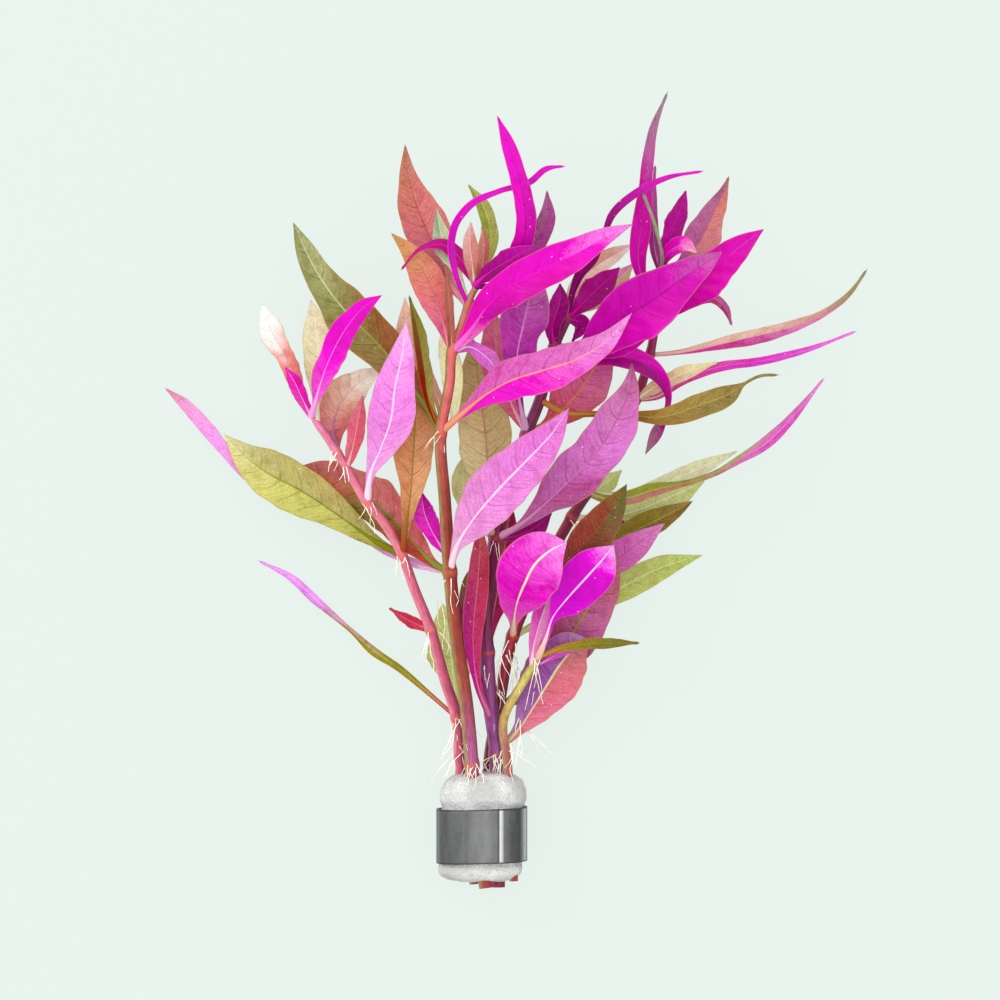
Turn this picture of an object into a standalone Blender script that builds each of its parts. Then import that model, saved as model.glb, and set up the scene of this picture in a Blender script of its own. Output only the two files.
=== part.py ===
"""A bunch of Alternanthera reineckii: five leafy stems, a foam wrap round them and a bent metal strip.

The bunch lies on its back. +X is its right, +Y runs from the cut ends to the tips and +Z is up from the
surface. Places in the outline are in quarter millimetres from the top left corner of the view, x to the
right and y down; heights above the surface are in millimetres.
"""

import math

import bmesh
import bpy
import numpy as np
from mathutils import Vector

MM = 0.001
UNIT = 0.25 * MM  # one step of the outline: the bunch is 797 steps or 199 mm long
VIEW_MIDDLE = 500  # the view is 1000 steps, 250 mm, wide and high
VIEW_HEIGHT = 1400 * MM  # the outline is seen from this far above the surface
CENTRE_X, CENTRE_Y = 4.1 * MM, 1.75 * MM  # middle of the bunch, from the middle of the view

GAP = 0.3 * MM  # air between neighbouring pieces

BLADE_RINGS = 7
LONG_BLADE_RINGS = 12
TIP_BLADE_RINGS = 5
BLADE_SAMPLES = 120
RIB_HALF_THICK = 0.33 * MM
MARGIN_HALF_THICK = 0.1 * MM
PETIOLE_HALF_THICK = 0.5 * MM
PETIOLE_RINGS = 2  # the stalk is thicker than the midrib over this many rings
PETIOLE_MARGIN_SHARE = 0.6  # thickness of the stalk's sides, as a share of its middle
PETIOLE_WIDEST = 0.65 * MM  # half width up to which a ring still belongs to the stalk
CUP = math.radians(12)  # how far the two halves of a blade lift from its midrib
CUP_FULL_AT = 2.0 * MM  # half width from which a blade is cupped in full

STEM_SIDES = 8
STEM_RINGS_PER_KNOT = 2
STEM_SAMPLES = 400
NODE_SWELL = 1.22
STEM_COLOURS = {"stem_left": "C03858", "stem_front": "9B3020", "stem_centre": "700040",
                "stem_right": "801040", "stem_short": "B8A050"}

HOLDER_X, HOLDER_Y = 481.8, 834.5  # middle of the foam and the strip in the outline
HOLDER_LEAN = math.radians(2.4)  # its upper end sits a little further right
ROUNDNESS = 0.85  # below 1 the section is squarer than an ellipse
FOAM_BACK, FOAM_FRONT = 0.9 * MM, 20.4 * MM
FOAM_HALF_WIDTH = 11.0 * MM
FOAM_SIDES = 18
# y in outline steps, and how wide the sleeve is there as a share of its widest
FOAM_OUTLINE = [(772, 0.42), (774, 0.68), (780, 0.87), (790, 0.97), (800, 0.98), (805, 0.935),
                (864, 0.935), (868, 0.955), (873, 0.93), (878, 0.80), (881, 0.55)]
CHANNEL_SIDES = 8
CHANNEL_ROOM = 1.22  # width of a stem's channel as a share of the stem's, before the gap
CHANNEL_LOW_SHARE, CHANNEL_TOP_SHARE = 0.1, 0.35  # how far a channel runs past the foam's two ends

STRIP_THICK = 0.6 * MM
STRIP_LAP_GAP = 0.15 * MM
STRIP_HALF_WIDTH = 11.3 * MM
STRIP_DEPTH = 21.4 * MM
STRIP_TOP, STRIP_BOTTOM = 807.5, 861.5  # in outline steps
STRIP_FLAT = 6.0 * MM  # half width of the flat underside
STRIP_LEAN = math.radians(1.6)  # the strip's right end sits a little higher
STRIP_START = math.radians(40)  # where the inner end lies, counted from the right side upwards
STRIP_LAP = math.radians(32)  # how far the outer end goes on over it
STRIP_LAP_RISE = 0.25  # turn in radians over which the outer end climbs onto the inner one
STRIP_STEPS = 40

# Stem knots, from the cut end up: x, y in outline steps, height in mm, radius in mm. True marks a node.
STEMS = {
    "stem_left": [
        (475, 884, 12.2, 1.35, False), (464, 800, 12.0, 1.35, False),
        (460, 768, 12.5, 1.4, False), (457, 718, 14.0, 1.4, True), (445, 680, 16.0, 1.35, False),
        (431, 630, 18.5, 1.3, True), (415, 590, 20.0, 1.25, False), (402, 555, 21.5, 1.2, True),
        (380, 517, 23.0, 1.15, False), (367, 502, 24.0, 1.15, True), (347, 468, 25.5, 1.05, False),
        (337, 452, 26.0, 1.05, True), (322, 430, 27.0, 0.95, False), (311, 416, 27.5, 0.9, True),
    ],
    "stem_front": [
        (486, 888, 16.4, 1.65, False), (474, 800, 16.0, 1.65, False),
        (472, 765, 16.5, 1.7, True), (466, 700, 20.0, 1.7, False), (457, 640, 23.5, 1.65, False),
        (450, 572, 27.0, 1.65, True), (445, 500, 31.0, 1.5, False), (441, 432, 35.0, 1.4, True),
        (450, 380, 38.0, 1.25, False), (452, 352, 39.5, 1.2, True), (460, 330, 41.0, 1.0, False),
        (468, 305, 42.0, 0.9, True), (475, 285, 43.0, 0.75, False),
    ],
    "stem_centre": [
        (498, 887, 10.6, 1.8, False), (497, 800, 11.0, 1.8, False),
        (497, 755, 11.0, 1.85, True), (490, 700, 14.0, 1.85, False), (487, 653, 16.0, 1.8, True),
        (486, 620, 17.5, 1.75, False), (491, 580, 19.0, 1.7, False), (496, 538, 21.0, 1.7, True),
        (502, 515, 22.0, 1.6, False), (527, 433, 25.0, 1.45, True), (540, 400, 26.0, 1.4, False),
        (554, 347, 28.0, 1.3, True), (567, 318, 29.0, 1.1, True), (574, 293, 30.0, 0.8, False),
    ],
    "stem_right": [
        (487, 884, 7.2, 1.45, False), (488, 800, 7.0, 1.45, False),
        (489, 765, 7.2, 1.45, False), (500, 700, 9.0, 1.45, False), (513, 636, 11.5, 1.45, True),
        (527, 602, 13.0, 1.4, False), (540, 573, 14.0, 1.35, True), (556, 545, 15.0, 1.35, False),
        (572, 517, 16.0, 1.35, True), (587, 493, 17.0, 1.3, True), (602, 462, 18.5, 1.25, False),
        (636, 400, 21.0, 1.2, True), (650, 355, 24.0, 1.1, True), (656, 320, 26.0, 1.0, True),
        (660, 268, 28.0, 0.75, False),
    ],
    "stem_short": [
        (514, 881, 14.4, 1.1, False), (510, 800, 15.0, 1.1, False),
        (508, 765, 15.0, 1.1, False), (504, 719, 15.4, 1.1, False), (522, 684, 15.6, 1.1, False),
        (538, 658, 16.0, 1.05, True),
    ],
}

# Blades: node name, the stem, and knots from the stem to the tip: x, y in outline steps, height in mm,
# half width in outline steps, tilt in degrees (plus turns the right-hand edge down).
BLADES = {
    "leaf_left_1": ("stem_left", [
        (457, 718, 14, 2, 0), (425, 690, 11, 3, 0), (400, 669, 9, 5, 10), (372, 650, 7, 6, 10),
        (350, 630, 5.5, 3, 40), (335, 617, 4, 4, 20), (318, 602, 2.6, 6, 0), (290, 577, 1.1, 5, 0),
        (257, 560, 0.5, 0, 0)]),
    "leaf_left_2": ("stem_left", [
        (457, 718, 14, 2, 0), (455, 690, 9.5, 10, 0), (451, 655, 7, 22, 0), (446, 625, 6, 14, 0),
        (442, 603, 5.5, 0, 0)]),
    "leaf_left_3": ("stem_left", [
        (402, 555, 21.5, 2, 0), (375, 541, 20.5, 6, 0), (345, 520, 18.5, 14, 0),
        (300, 493, 14.5, 22, 0), (264, 476, 10.5, 25, 0), (232, 458, 7, 17, 0),
        (208, 438, 4, 10, 25), (187, 412, 1.8, 7, 40), (165, 388, 0.4, 0, 40)]),
    "leaf_left_4": ("stem_left", [
        (402, 555, 21.5, 2, 0), (407, 520, 26, 5, 0), (411, 490, 27.4, 11, 0), (413, 460, 28, 19, 0),
        (415, 425, 27, 20, 0), (418, 388, 24, 9, 0), (420, 364, 22, 0, 0)]),
    "leaf_left_5": ("stem_left", [
        (367, 502, 24, 2, 0), (371, 472, 29, 5, 0), (381, 448, 33, 14, 0), (391, 419, 37, 22, 0),
        (395, 387, 39, 20, 0), (402, 355, 40, 12, 0), (406, 322, 40, 0, 0)]),
    "leaf_left_7": ("stem_left", [
        (337, 452, 26, 2, 0), (333, 430, 22.5, 13, 0), (340, 404, 20.5, 20, 0), (360, 382, 19, 13, 0),
        (383, 367, 18, 0, 0)]),
    "leaf_left_8": ("stem_left", [
        (316, 422, 27.2, 2, 0), (317, 402, 23, 4, 0), (318, 378, 19.6, 11, 0), (318, 348, 17, 15, 0),
        (315, 322, 14, 10, 0), (311, 299, 12, 0, 0)]),
    "leaf_left_9": ("stem_left", [
        (311, 416, 27.5, 2, 0), (298, 387, 25, 6, 0), (283, 352, 22.4, 10, 0), (270, 328, 20.5, 11, 0),
        (262, 304, 18, 0, 0)]),
    "leaf_left_10": ("stem_left", [
        (311, 416, 27.5, 2, 0), (315, 403, 31, 3, 0), (321, 382, 33, 9, 0), (330, 358, 34.6, 12, 0),
        (345, 330, 36, 12, 0), (364, 307, 38, 8, 0), (382, 295, 39, 0, 0)]),
    "leaf_front_1": ("stem_front", [
        (450, 572, 27, 3, 0), (436, 565, 24, 4, 0), (414, 543, 19.5, 12, 0), (388, 514, 16, 21, 0),
        (353, 487, 12.5, 20, 0), (320, 472, 10.5, 11, 0), (293, 468, 9.5, 0, 0)]),
    "leaf_front_2": ("stem_front", [
        (450, 572, 27, 3, 0), (456, 548, 32, 5, 0), (472, 521, 37, 18, 0), (498, 490, 41, 27, 0),
        (528, 459, 44, 23, 0), (553, 432, 46, 12, 0), (569, 408, 47, 0, 0)]),
    "leaf_front_4": ("stem_front", [
        (441, 432, 35, 2, 0), (462, 414, 38.5, 4, 0), (484, 396, 40.5, 10, 0), (510, 381, 42, 20, 0),
        (541, 371, 44, 21, 0), (575, 360, 45.5, 17, 0), (605, 342, 46.5, 10, 0),
        (632, 313, 47.5, 0, 0)]),
    "leaf_front_5": ("stem_front", [
        (441, 432, 35, 2, 0), (425, 405, 31, 5, 0), (406, 379, 28, 13, 0), (380, 346, 25, 23, 0),
        (347, 313, 22, 22, 0), (318, 274, 19, 14, 0), (303, 245, 17.5, 8, 0), (293, 222, 16.5, 0, 0)]),
    "leaf_front_6": ("stem_front", [
        (441, 432, 35, 2, 0), (428, 398, 36, 5, 30), (424, 370, 36.3, 9, 40), (419, 338, 36.3, 8, 40),
        (409, 295, 36.3, 0, 30)]),
    "leaf_front_7": ("stem_front", [
        (441, 432, 35, 2, 0), (440, 405, 26.5, 4, 0), (424, 372, 19, 9, 0), (408, 335, 16, 12, 0),
        (405, 297, 14, 0, 0)]),
    "leaf_front_8": ("stem_front", [
        (452, 352, 39.5, 2, 0), (444, 325, 38.5, 8, 0), (436, 300, 38, 16, 0), (424, 273, 38, 15, 0),
        (408, 250, 38, 8, 0), (391, 233, 38, 0, 0)]),
    "leaf_front_9": ("stem_front", [
        (452, 352, 39.5, 3, 0), (472, 329, 43.5, 8, 0), (487, 307, 47.5, 14, 0),
        (510, 287, 51, 18, 0), (545, 269, 54, 19, 0), (580, 251, 56.5, 14, 0), (608, 235, 58, 8, 0),
        (633, 224, 59, 0, 0)]),
    "leaf_front_10": ("stem_front", [
        (468, 305, 42, 2, 0), (455, 290, 38, 5, 0), (443, 265, 34.5, 16, 0), (429, 235, 31.5, 23, 0),
        (417, 207, 29.5, 18, 0), (408, 176, 28, 9, 0), (405, 144, 27, 0, 0)]),
    "leaf_front_11": ("stem_front", [
        (468, 305, 42, 2, 0), (457, 278, 45.5, 4, 10), (450, 250, 46.5, 5, 20),
        (456, 226, 47, 4, 20), (472, 206, 47.3, 5, 10), (500, 192, 47.5, 5, 0),
        (530, 182, 47.5, 5, 0), (549, 169, 47, 3, 0), (566, 166, 46.5, 0, 0)]),
    "leaf_front_12": ("stem_front", [
        (475, 287, 43, 2, 0), (495, 284, 43.6, 3, 0), (513, 262, 45.6, 8, 0), (524, 232, 49, 12, 0),
        (523, 202, 51, 12, 0), (516, 172, 52, 9, 0), (508, 145, 52.5, 6, 0), (497, 115, 52.5, 0, 0)]),
    "leaf_front_14": ("stem_front", [
        (468, 305, 42, 2, 0), (488, 297, 41, 2, 0), (513, 271, 40.6, 5, 0), (535, 243, 41.5, 11, 0),
        (547, 217, 43, 8, 0), (547, 190, 44, 0, 0)]),
    "leaf_centre_1": ("stem_centre", [
        (497, 755, 11, 2, 0), (507, 742, 12.6, 3, 0), (518, 730, 12.8, 6, 0), (531, 711, 12.6, 18, 0),
        (547, 685, 12.2, 27, 0), (562, 662, 12.4, 27, 0), (575, 648, 12.6, 20, 0),
        (590, 640, 12.6, 0, 0)]),
    "leaf_centre_2": ("stem_centre", [
        (489, 700, 14, 3, 0), (473, 664, 17.3, 4, 0), (467, 640, 18.5, 6, 10), (464, 605, 20, 6, 20),
        (471, 577, 21.3, 6, 10), (484, 559, 22.5, 0, 0)]),
    "leaf_centre_3": ("stem_centre", [
        (492, 722, 12.8, 3, 0), (477, 682, 20.5, 4, 0), (473, 640, 22.5, 8, 0), (477, 590, 24.5, 9, 0),
        (480, 550, 26, 6, 0), (480, 520, 27, 0, 0)]),
    "leaf_centre_4": ("stem_centre", [
        (487, 653, 16, 2, 0), (492, 620, 11, 7, 0), (500, 580, 8, 19, 0), (505, 545, 7, 16, 0),
        (512, 503, 6.5, 0, 0)]),
    "leaf_centre_5": ("stem_centre", [
        (496, 538, 21, 3, 0), (520, 525, 26.5, 4, 0), (545, 504, 30, 12, 0), (572, 478, 33.5, 22, 0),
        (600, 448, 36.5, 25, 0), (619, 415, 38.5, 19, 0), (630, 388, 39.5, 9, 0),
        (632, 363, 39.5, 0, 0)]),
    "leaf_centre_6": ("stem_centre", [
        (496, 538, 21, 2, 0), (486, 520, 24.5, 3, 0), (486, 495, 25, 8, 0), (487, 468, 25.3, 21, 0),
        (486, 440, 25.4, 27, 0), (482, 408, 25.6, 25, 0), (477, 372, 25.6, 17, 0), (473, 338, 25, 0, 0)]),
    "leaf_centre_7": ("stem_centre", [
        (527, 433, 25, 2, 0), (545, 424, 24.4, 4, 0), (568, 404, 24.2, 21, 0), (587, 380, 23.6, 23, 0),
        (603, 352, 23, 14, 0), (618, 325, 22.5, 0, 0)]),
    "leaf_centre_8": ("stem_centre", [
        (527, 433, 25, 2, 0), (512, 405, 28, 9, 0), (500, 372, 29.5, 16, 0), (495, 340, 30.5, 14, 0),
        (492, 305, 31, 0, 0)]),
    "leaf_centre_9": ("stem_centre", [
        (527, 433, 25, 2, 0), (519, 397, 31.5, 4, 0), (517, 357, 35.5, 15, 0), (524, 322, 38, 22, 0),
        (531, 292, 40, 17, 0), (539, 262, 41.5, 0, 0)]),
    "leaf_centre_10": ("stem_centre", [
        (554, 347, 28, 3, 0), (585, 347, 33.5, 8, 0), (605, 334, 37, 21, 0), (630, 315, 41, 29, 0),
        (660, 295, 44, 26, 0), (690, 273, 46, 16, 0), (707, 262, 47, 9, 0), (722, 252, 48, 0, 0)]),
    "leaf_centre_11": ("stem_centre", [
        (549, 370, 27.2, 3, 0), (585, 361, 30.5, 5, 0), (615, 357, 31.8, 9, 0), (640, 362, 32.4, 11, 0),
        (660, 376, 32.4, 8, 20), (669, 396, 31.6, 4, 40), (666, 413, 30.5, 3, 30),
        (656, 434, 29, 6, 0), (645, 455, 28, 0, 0)]),
    "leaf_centre_12": ("stem_centre", [
        (540, 400, 26, 2, 0), (566, 413, 29.5, 3, 0), (600, 414, 31.6, 3, 0), (632, 416, 33, 4, 0),
        (662, 417, 34, 8, 0), (702, 406, 35, 12, 10), (735, 393, 35.5, 8, 20), (752, 383, 35.5, 3, 30),
        (780, 375, 35.5, 0, 30)]),
    "leaf_centre_13": ("stem_centre", [
        (567, 318, 29, 3, 0), (571, 295, 33, 5, 0), (581, 270, 36.5, 7, 0), (596, 243, 40, 6, 0),
        (612, 215, 42.5, 5, 0), (636, 193, 44, 5, 0), (666, 178, 45, 3, 0), (704, 171, 45.5, 0, 0)]),
    "leaf_centre_14": ("stem_centre", [
        (567, 318, 29, 3, 0), (577, 309, 30.6, 6, 0), (590, 296, 31, 13, 0), (604, 283, 31, 12, 0),
        (620, 267, 31, 0, 0)]),
    "leaf_centre_15": ("stem_centre", [
        (567, 318, 29, 2, 0), (580, 312, 25.8, 2, 0), (593, 301, 24.4, 9, 0), (613, 285, 22.5, 12, 0),
        (634, 263, 20.5, 0, 0)]),
    "leaf_centre_16": ("stem_centre", [
        (567, 318, 29, 2, 0), (574, 288, 25.5, 6, 0), (593, 268, 22, 10, 0), (613, 255, 19, 8, 0),
        (634, 244, 17, 0, 0)]),
    "leaf_right_17": ("stem_right", [
        (498, 708, 8.8, 2, 0), (517, 697, 7.2, 7, 0), (537, 676, 6.8, 15, 0), (556, 655, 7.4, 21, 0),
        (572, 634, 9.5, 26, 0), (590, 604, 14, 25, 0), (604, 574, 17, 18, 0), (614, 548, 19, 0, 0)]),
    "leaf_right_1": ("stem_right", [
        (513, 636, 11.5, 3, 0), (514, 621, 18.5, 5, 0), (517, 603, 25.5, 17, 0), (525, 583, 31.5, 29, 0),
        (534, 563, 35.5, 30, 0), (541, 550, 37, 21, 0), (548, 541, 37.5, 0, 0)]),
    "leaf_right_2": ("stem_right", [
        (513, 636, 11.5, 2, 0), (545, 620, 5.5, 5, 0), (598, 600, 2.4, 10, 0), (630, 583, 1.2, 15, 0),
        (660, 568, 0.8, 12, 0), (703, 555, 0.5, 0, 0)]),
    "leaf_right_3": ("stem_right", [
        (540, 573, 14, 3, 0), (553, 568, 18.6, 6, 0), (572, 556, 21.5, 12, 0), (592, 536, 24, 19, 0),
        (610, 513, 26, 15, 0), (627, 484, 27, 0, 0)]),
    "leaf_right_4": ("stem_right", [
        (540, 573, 14, 2, 0), (580, 578, 12.6, 6, 0), (612, 562, 12.6, 15, 0), (640, 542, 13.4, 12, 0),
        (665, 523, 14, 0, 0)]),
    "leaf_right_5": ("stem_right", [
        (556, 545, 15, 2, 0), (590, 545, 11, 4, 0), (622, 536, 9, 11, 0), (655, 521, 8.2, 12, 0),
        (677, 510, 8, 7, 0), (693, 501, 8, 0, 0)]),
    "leaf_right_6": ("stem_right", [
        (572, 517, 16, 2, 0), (604, 518, 8, 6, 0), (638, 510, 4.6, 17, 0), (674, 495, 2.8, 15, 0),
        (705, 481, 2, 0, 0)]),
    "leaf_right_7": ("stem_right", [
        (587, 493, 17, 3, 0), (612, 500, 19.6, 5, 0), (632, 497, 20.4, 7, 0), (652, 490, 20, 7, 10),
        (675, 485, 19, 4, 30), (692, 481, 18.2, 3, 30), (715, 473, 17, 3, 20), (737, 461, 15.6, 4, 0),
        (765, 444, 13.8, 6, 0), (786, 424, 12.4, 5, 10), (805, 402, 11.4, 3, 20),
        (825, 377, 10.6, 0, 20)]),
    "leaf_right_8": ("stem_right", [
        (587, 493, 17, 2, 0), (628, 494, 14.4, 4, 0), (662, 484, 13.6, 7, 0), (700, 468, 12.8, 8, 0),
        (738, 451, 12, 0, 0)]),
    "leaf_right_10": ("stem_right", [
        (636, 400, 21, 2, 0), (656, 397, 20, 3, 0), (682, 380, 18, 5, 0), (720, 367, 14.5, 5, 0),
        (760, 361, 11, 4, 0), (803, 351, 7, 3, 0), (857, 331, 3.5, 0, 0)]),
    "leaf_right_12": ("stem_right", [
        (650, 355, 24, 2, 0), (680, 352, 22, 2.5, 0), (712, 346, 19, 6, 0), (747, 338, 15, 8, 0),
        (788, 329, 10.5, 9, 10), (820, 315, 6.5, 7, 10), (849, 294, 3, 5, 0), (868, 268, 0.5, 0, 0)]),
    "leaf_right_13": ("stem_right", [
        (656, 320, 26, 2, 0), (679, 307, 29.5, 7, 0), (702, 282, 32, 19, 0), (724, 261, 34, 17, 0),
        (746, 242, 35.5, 9, 0), (764, 229, 36.5, 0, 0)]),
    "leaf_right_14": ("stem_right", [
        (656, 320, 26, 2, 0), (643, 283, 31, 4, 0), (638, 258, 33, 8, 0), (641, 228, 34.5, 9, 0),
        (645, 195, 36, 7, 0), (648, 160, 37, 6, 0), (653, 130, 37.5, 4, 0), (668, 91, 37.5, 0, 0)]),
    "leaf_right_15": ("stem_right", [
        (660, 272, 28, 2, 0), (682, 262, 24, 5, 0), (701, 238, 21.5, 17, 0), (713, 214, 20, 12, 0),
        (723, 193, 19, 5, 0), (729, 176, 18.5, 0, 0)]),
    "leaf_short_1": ("stem_short", [
        (538, 658, 16, 2, 0), (546, 638, 20.5, 3, 0), (553, 617, 23.5, 5, 0), (566, 600, 26, 14, 0),
        (584, 580, 28.5, 21, 0), (602, 560, 30.5, 14, 0), (614, 545, 31.5, 0, 0)]),
    "leaf_short_3": ("stem_short", [
        (538, 658, 16, 2, 0), (556, 650, 18.4, 3, 0), (580, 645, 20.5, 5, 0), (610, 643, 23.5, 5, 0),
        (640, 643, 24, 0, 0)]),
}

# The smallest leaves of the shoot tips, grown as one with their stem.
TIP_BLADES = {
    "stem_left": [
        [(311, 416, 27.5, 3, 0), (302, 398, 29, 6, 0), (294, 381, 29.6, 7, 0), (285, 367, 30, 0, 0)],
        [(431, 630, 18.5, 3, 0), (410, 621, 17, 6, 0), (389, 608, 16, 0, 0)],
        [(347, 468, 25.5, 2, 0), (353, 447, 28.5, 7, 0), (358, 420, 30, 8, 0), (363, 395, 31, 0, 0)],
    ],
    "stem_front": [
        [(475, 286, 42.8, 3, 0), (472, 262, 43.6, 7, 0), (470, 242, 44, 7, 0), (471, 222, 44.2, 0, 0)],
        [(475, 290, 42.8, 3, 0), (483, 262, 44.2, 5, 0), (484, 244, 44.4, 5, 0),
         (482, 226, 44.6, 0, 0)],
        [(452, 352, 39.5, 3, 0), (451, 328, 43, 4, 0), (449, 300, 43.5, 4, 0), (446, 264, 43.6, 0, 0)],
        [(448, 556, 27.8, 2, 0), (434, 535, 25.5, 8, 0), (425, 515, 24.5, 11, 0),
         (421, 490, 23.5, 0, 0)],
        [(475, 285, 43, 2, 0), (490, 272, 47.5, 8, 0), (508, 261, 49.8, 11, 0), (523, 252, 51.5, 7, 0),
         (536, 246, 52.5, 0, 0)],
        [(468, 305, 42, 2, 0), (484, 266, 36.5, 5, 0), (491, 237, 33, 7, 0), (484, 208, 30.5, 7, 0),
         (468, 184, 28, 0, 0)],
        [(475, 285, 43, 1.5, 0), (461, 259, 41.6, 8, 0), (442, 245, 41.4, 6, 20),
         (421, 249, 41.2, 3, 40), (401, 270, 41, 0, 40)],
        [(452, 352, 39.5, 2, 0), (470, 347, 37.5, 6, 0), (487, 358, 36, 9, 0), (507, 388, 34.5, 0, 0)],
        [(441, 432, 35, 2, 0), (453, 419, 31.5, 3, 0), (454, 400, 29.5, 7, 0), (451, 370, 28.6, 11, 0),
         (447, 345, 28, 8, 0), (443, 322, 27.6, 0, 0)],
        [(468, 305, 42, 2, 0), (460, 278, 41, 3, 0), (444, 245, 38.8, 10, 0), (436, 208, 37, 0, 0)],
    ],
    "stem_centre": [
        [(554, 347, 28, 3, 0), (553, 325, 33, 8, 0), (560, 300, 34, 9, 0), (560, 283, 34, 0, 0)],
        [(567, 318, 29, 3, 0), (582, 324, 26.8, 8, 0), (572, 342, 25.4, 0, 0)],
        [(496, 538, 21, 2, 0), (517, 536, 18.5, 5, 0), (536, 527, 17.5, 10, 0), (552, 513, 17, 0, 0)],
        [(496, 538, 21, 2, 0), (478, 528, 19.5, 3, 0), (468, 505, 20, 9, 0), (463, 478, 21, 11, 0),
         (468, 450, 21.5, 0, 0)],
        [(554, 347, 28, 2, 0), (562, 355, 28.8, 2, 0), (575, 357, 30.8, 2, 0), (602, 353, 34.2, 6, 0),
         (628, 345, 35, 8, 0), (650, 336, 34.6, 0, 0)],
    ],
    "stem_right": [
        [(660, 270, 27.8, 3, 0), (655, 250, 27, 5, 0), (653, 220, 26.6, 5, 0), (655, 165, 26.4, 0, 0)],
        [(660, 270, 27.8, 3, 0), (671, 250, 34.5, 7, 0), (684, 244, 36, 8, 0), (697, 253, 36.5, 0, 0)],
        [(656, 320, 26, 3, 0), (690, 305, 24, 4, 0), (713, 298, 23.4, 5, 0), (725, 308, 23, 4, 0),
         (732, 326, 22.6, 0, 0)],
        [(587, 493, 17, 2, 0), (596, 490, 11.5, 8, 0), (608, 482, 10, 9, 0), (622, 470, 9.2, 0, 0)],
        [(636, 400, 21, 2, 0), (655, 387, 25, 6, 0), (685, 373, 26, 7, 0), (718, 362, 26, 0, 0)],
        [(660, 270, 28, 2, 0), (667, 250, 30.5, 7, 0), (675, 224, 31.5, 10, 0), (682, 204, 32, 6, 0),
         (686, 190, 32, 0, 0)],
        [(660, 270, 27.8, 2, 0), (662, 256, 36, 1.5, 0), (655, 225, 40, 1.5, 0), (643, 193, 41, 0, 0)],
    ],
    "stem_short": [
        [(531, 670, 15.8, 2, 0), (533, 650, 17, 4, 0), (538, 628, 18.6, 8, 0), (544, 610, 19.6, 9, 0),
         (552, 588, 20.4, 0, 0)],
    ],
}

# Colour groups of the leaves: sRGB colour and the leaves that have it.
LEAF_COLOURS = {
    "leaf_magenta": ("E41CC8", ["leaf_left_10", "leaf_front_9", "leaf_front_11", "leaf_front_12",
                                "leaf_centre_10", "leaf_centre_11", "leaf_centre_13", "leaf_right_13",
                                "leaf_right_14", "leaf_short_1"]),
    "leaf_lilac": ("E890E8", ["leaf_left_1", "leaf_left_5", "leaf_front_2"]),
    "leaf_pink": ("DC70BC", ["leaf_front_4", "leaf_centre_1", "leaf_centre_5", "leaf_centre_9",
                             "leaf_right_1", "leaf_right_4", "leaf_right_10"]),
    "leaf_rose": ("CC5C74", ["leaf_front_1", "leaf_centre_3", "leaf_centre_4", "leaf_centre_7",
                             "leaf_centre_8", "leaf_right_17", "leaf_right_15"]),
    "leaf_salmon": ("E8A08C", ["leaf_left_7", "leaf_left_9", "leaf_front_8", "leaf_front_10",
                               "leaf_centre_15", "leaf_centre_16", "leaf_right_12"]),
    "leaf_cream": ("E8DCB4", ["leaf_left_8", "leaf_front_7", "leaf_right_8"]),
    "leaf_olive": ("8E7C30", ["leaf_left_4", "leaf_front_5", "leaf_front_6", "leaf_centre_2",
                              "leaf_centre_6", "leaf_centre_12", "leaf_right_3", "leaf_right_5",
                              "leaf_short_3"]),
    "leaf_green": ("BCC860", ["leaf_left_2", "leaf_left_3", "leaf_right_2", "leaf_right_6",
                              "leaf_right_7"]),
    "leaf_purple": ("8A1068", ["leaf_centre_14", "leaf_front_14"]),
}

LONG_BLADES = {"leaf_left_1", "leaf_left_3", "leaf_front_11", "leaf_centre_11", "leaf_centre_12",
               "leaf_centre_13", "leaf_right_7", "leaf_right_12"}


def clear_scene():
    """Removes what the new file holds."""
    for thing in list(bpy.context.scene.objects):
        bpy.data.objects.remove(thing)


def finish_of(name, hex_colour, roughness, metallic=0.0):
    """A Principled material of one sRGB colour, made once."""
    found = bpy.data.materials.get(name)
    if found:
        return found
    made = bpy.data.materials.new(name)
    made.use_nodes = True
    shader = made.node_tree.nodes["Principled BSDF"]
    parts = [int(hex_colour[i:i + 2], 16) / 255 for i in (0, 2, 4)]
    linear = [p / 12.92 if p <= 0.04045 else ((p + 0.055) / 1.055) ** 2.4 for p in parts]
    shader.inputs["Base Color"].default_value = (*linear, 1)
    shader.inputs["Roughness"].default_value = roughness
    shader.inputs["Metallic"].default_value = metallic
    return made


def place(x, y, height_mm):
    """The point in metres under this place of the outline, at this height."""
    height = height_mm * MM
    nearer = 1 - height / VIEW_HEIGHT
    return Vector(((x - VIEW_MIDDLE) * UNIT * nearer - CENTRE_X,
                   (VIEW_MIDDLE - y) * UNIT * nearer - CENTRE_Y, height))


def smooth(knots, count, spread_over_knots=False):
    """Samples of a smooth curve through the knots: rows of x, y, z and the other values.

    They are evenly spaced along the curve, or else there are equally many between any two knots.
    """
    knots = np.array(knots, float)
    steps = np.linalg.norm(np.diff(knots[:, :3], axis=0), axis=1)
    at_knot = np.concatenate([[0], np.cumsum(steps)])
    slopes = np.gradient(knots, at_knot, axis=0)
    at = np.linspace(0, at_knot[-1], count)
    if spread_over_knots:
        at = np.interp(np.linspace(0, len(knots) - 1, count), range(len(knots)), at_knot)
    left = np.clip(np.searchsorted(at_knot, at, side="right") - 1, 0, len(knots) - 2)
    span = (at_knot[left + 1] - at_knot[left])[:, None]
    s = (at - at_knot[left])[:, None] / span
    return ((2 * s**3 - 3 * s**2 + 1) * knots[left] + (s**3 - 2 * s**2 + s) * span * slopes[left]
            + (3 * s**2 - 2 * s**3) * knots[left + 1] + (s**3 - s**2) * span * slopes[left + 1])


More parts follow.
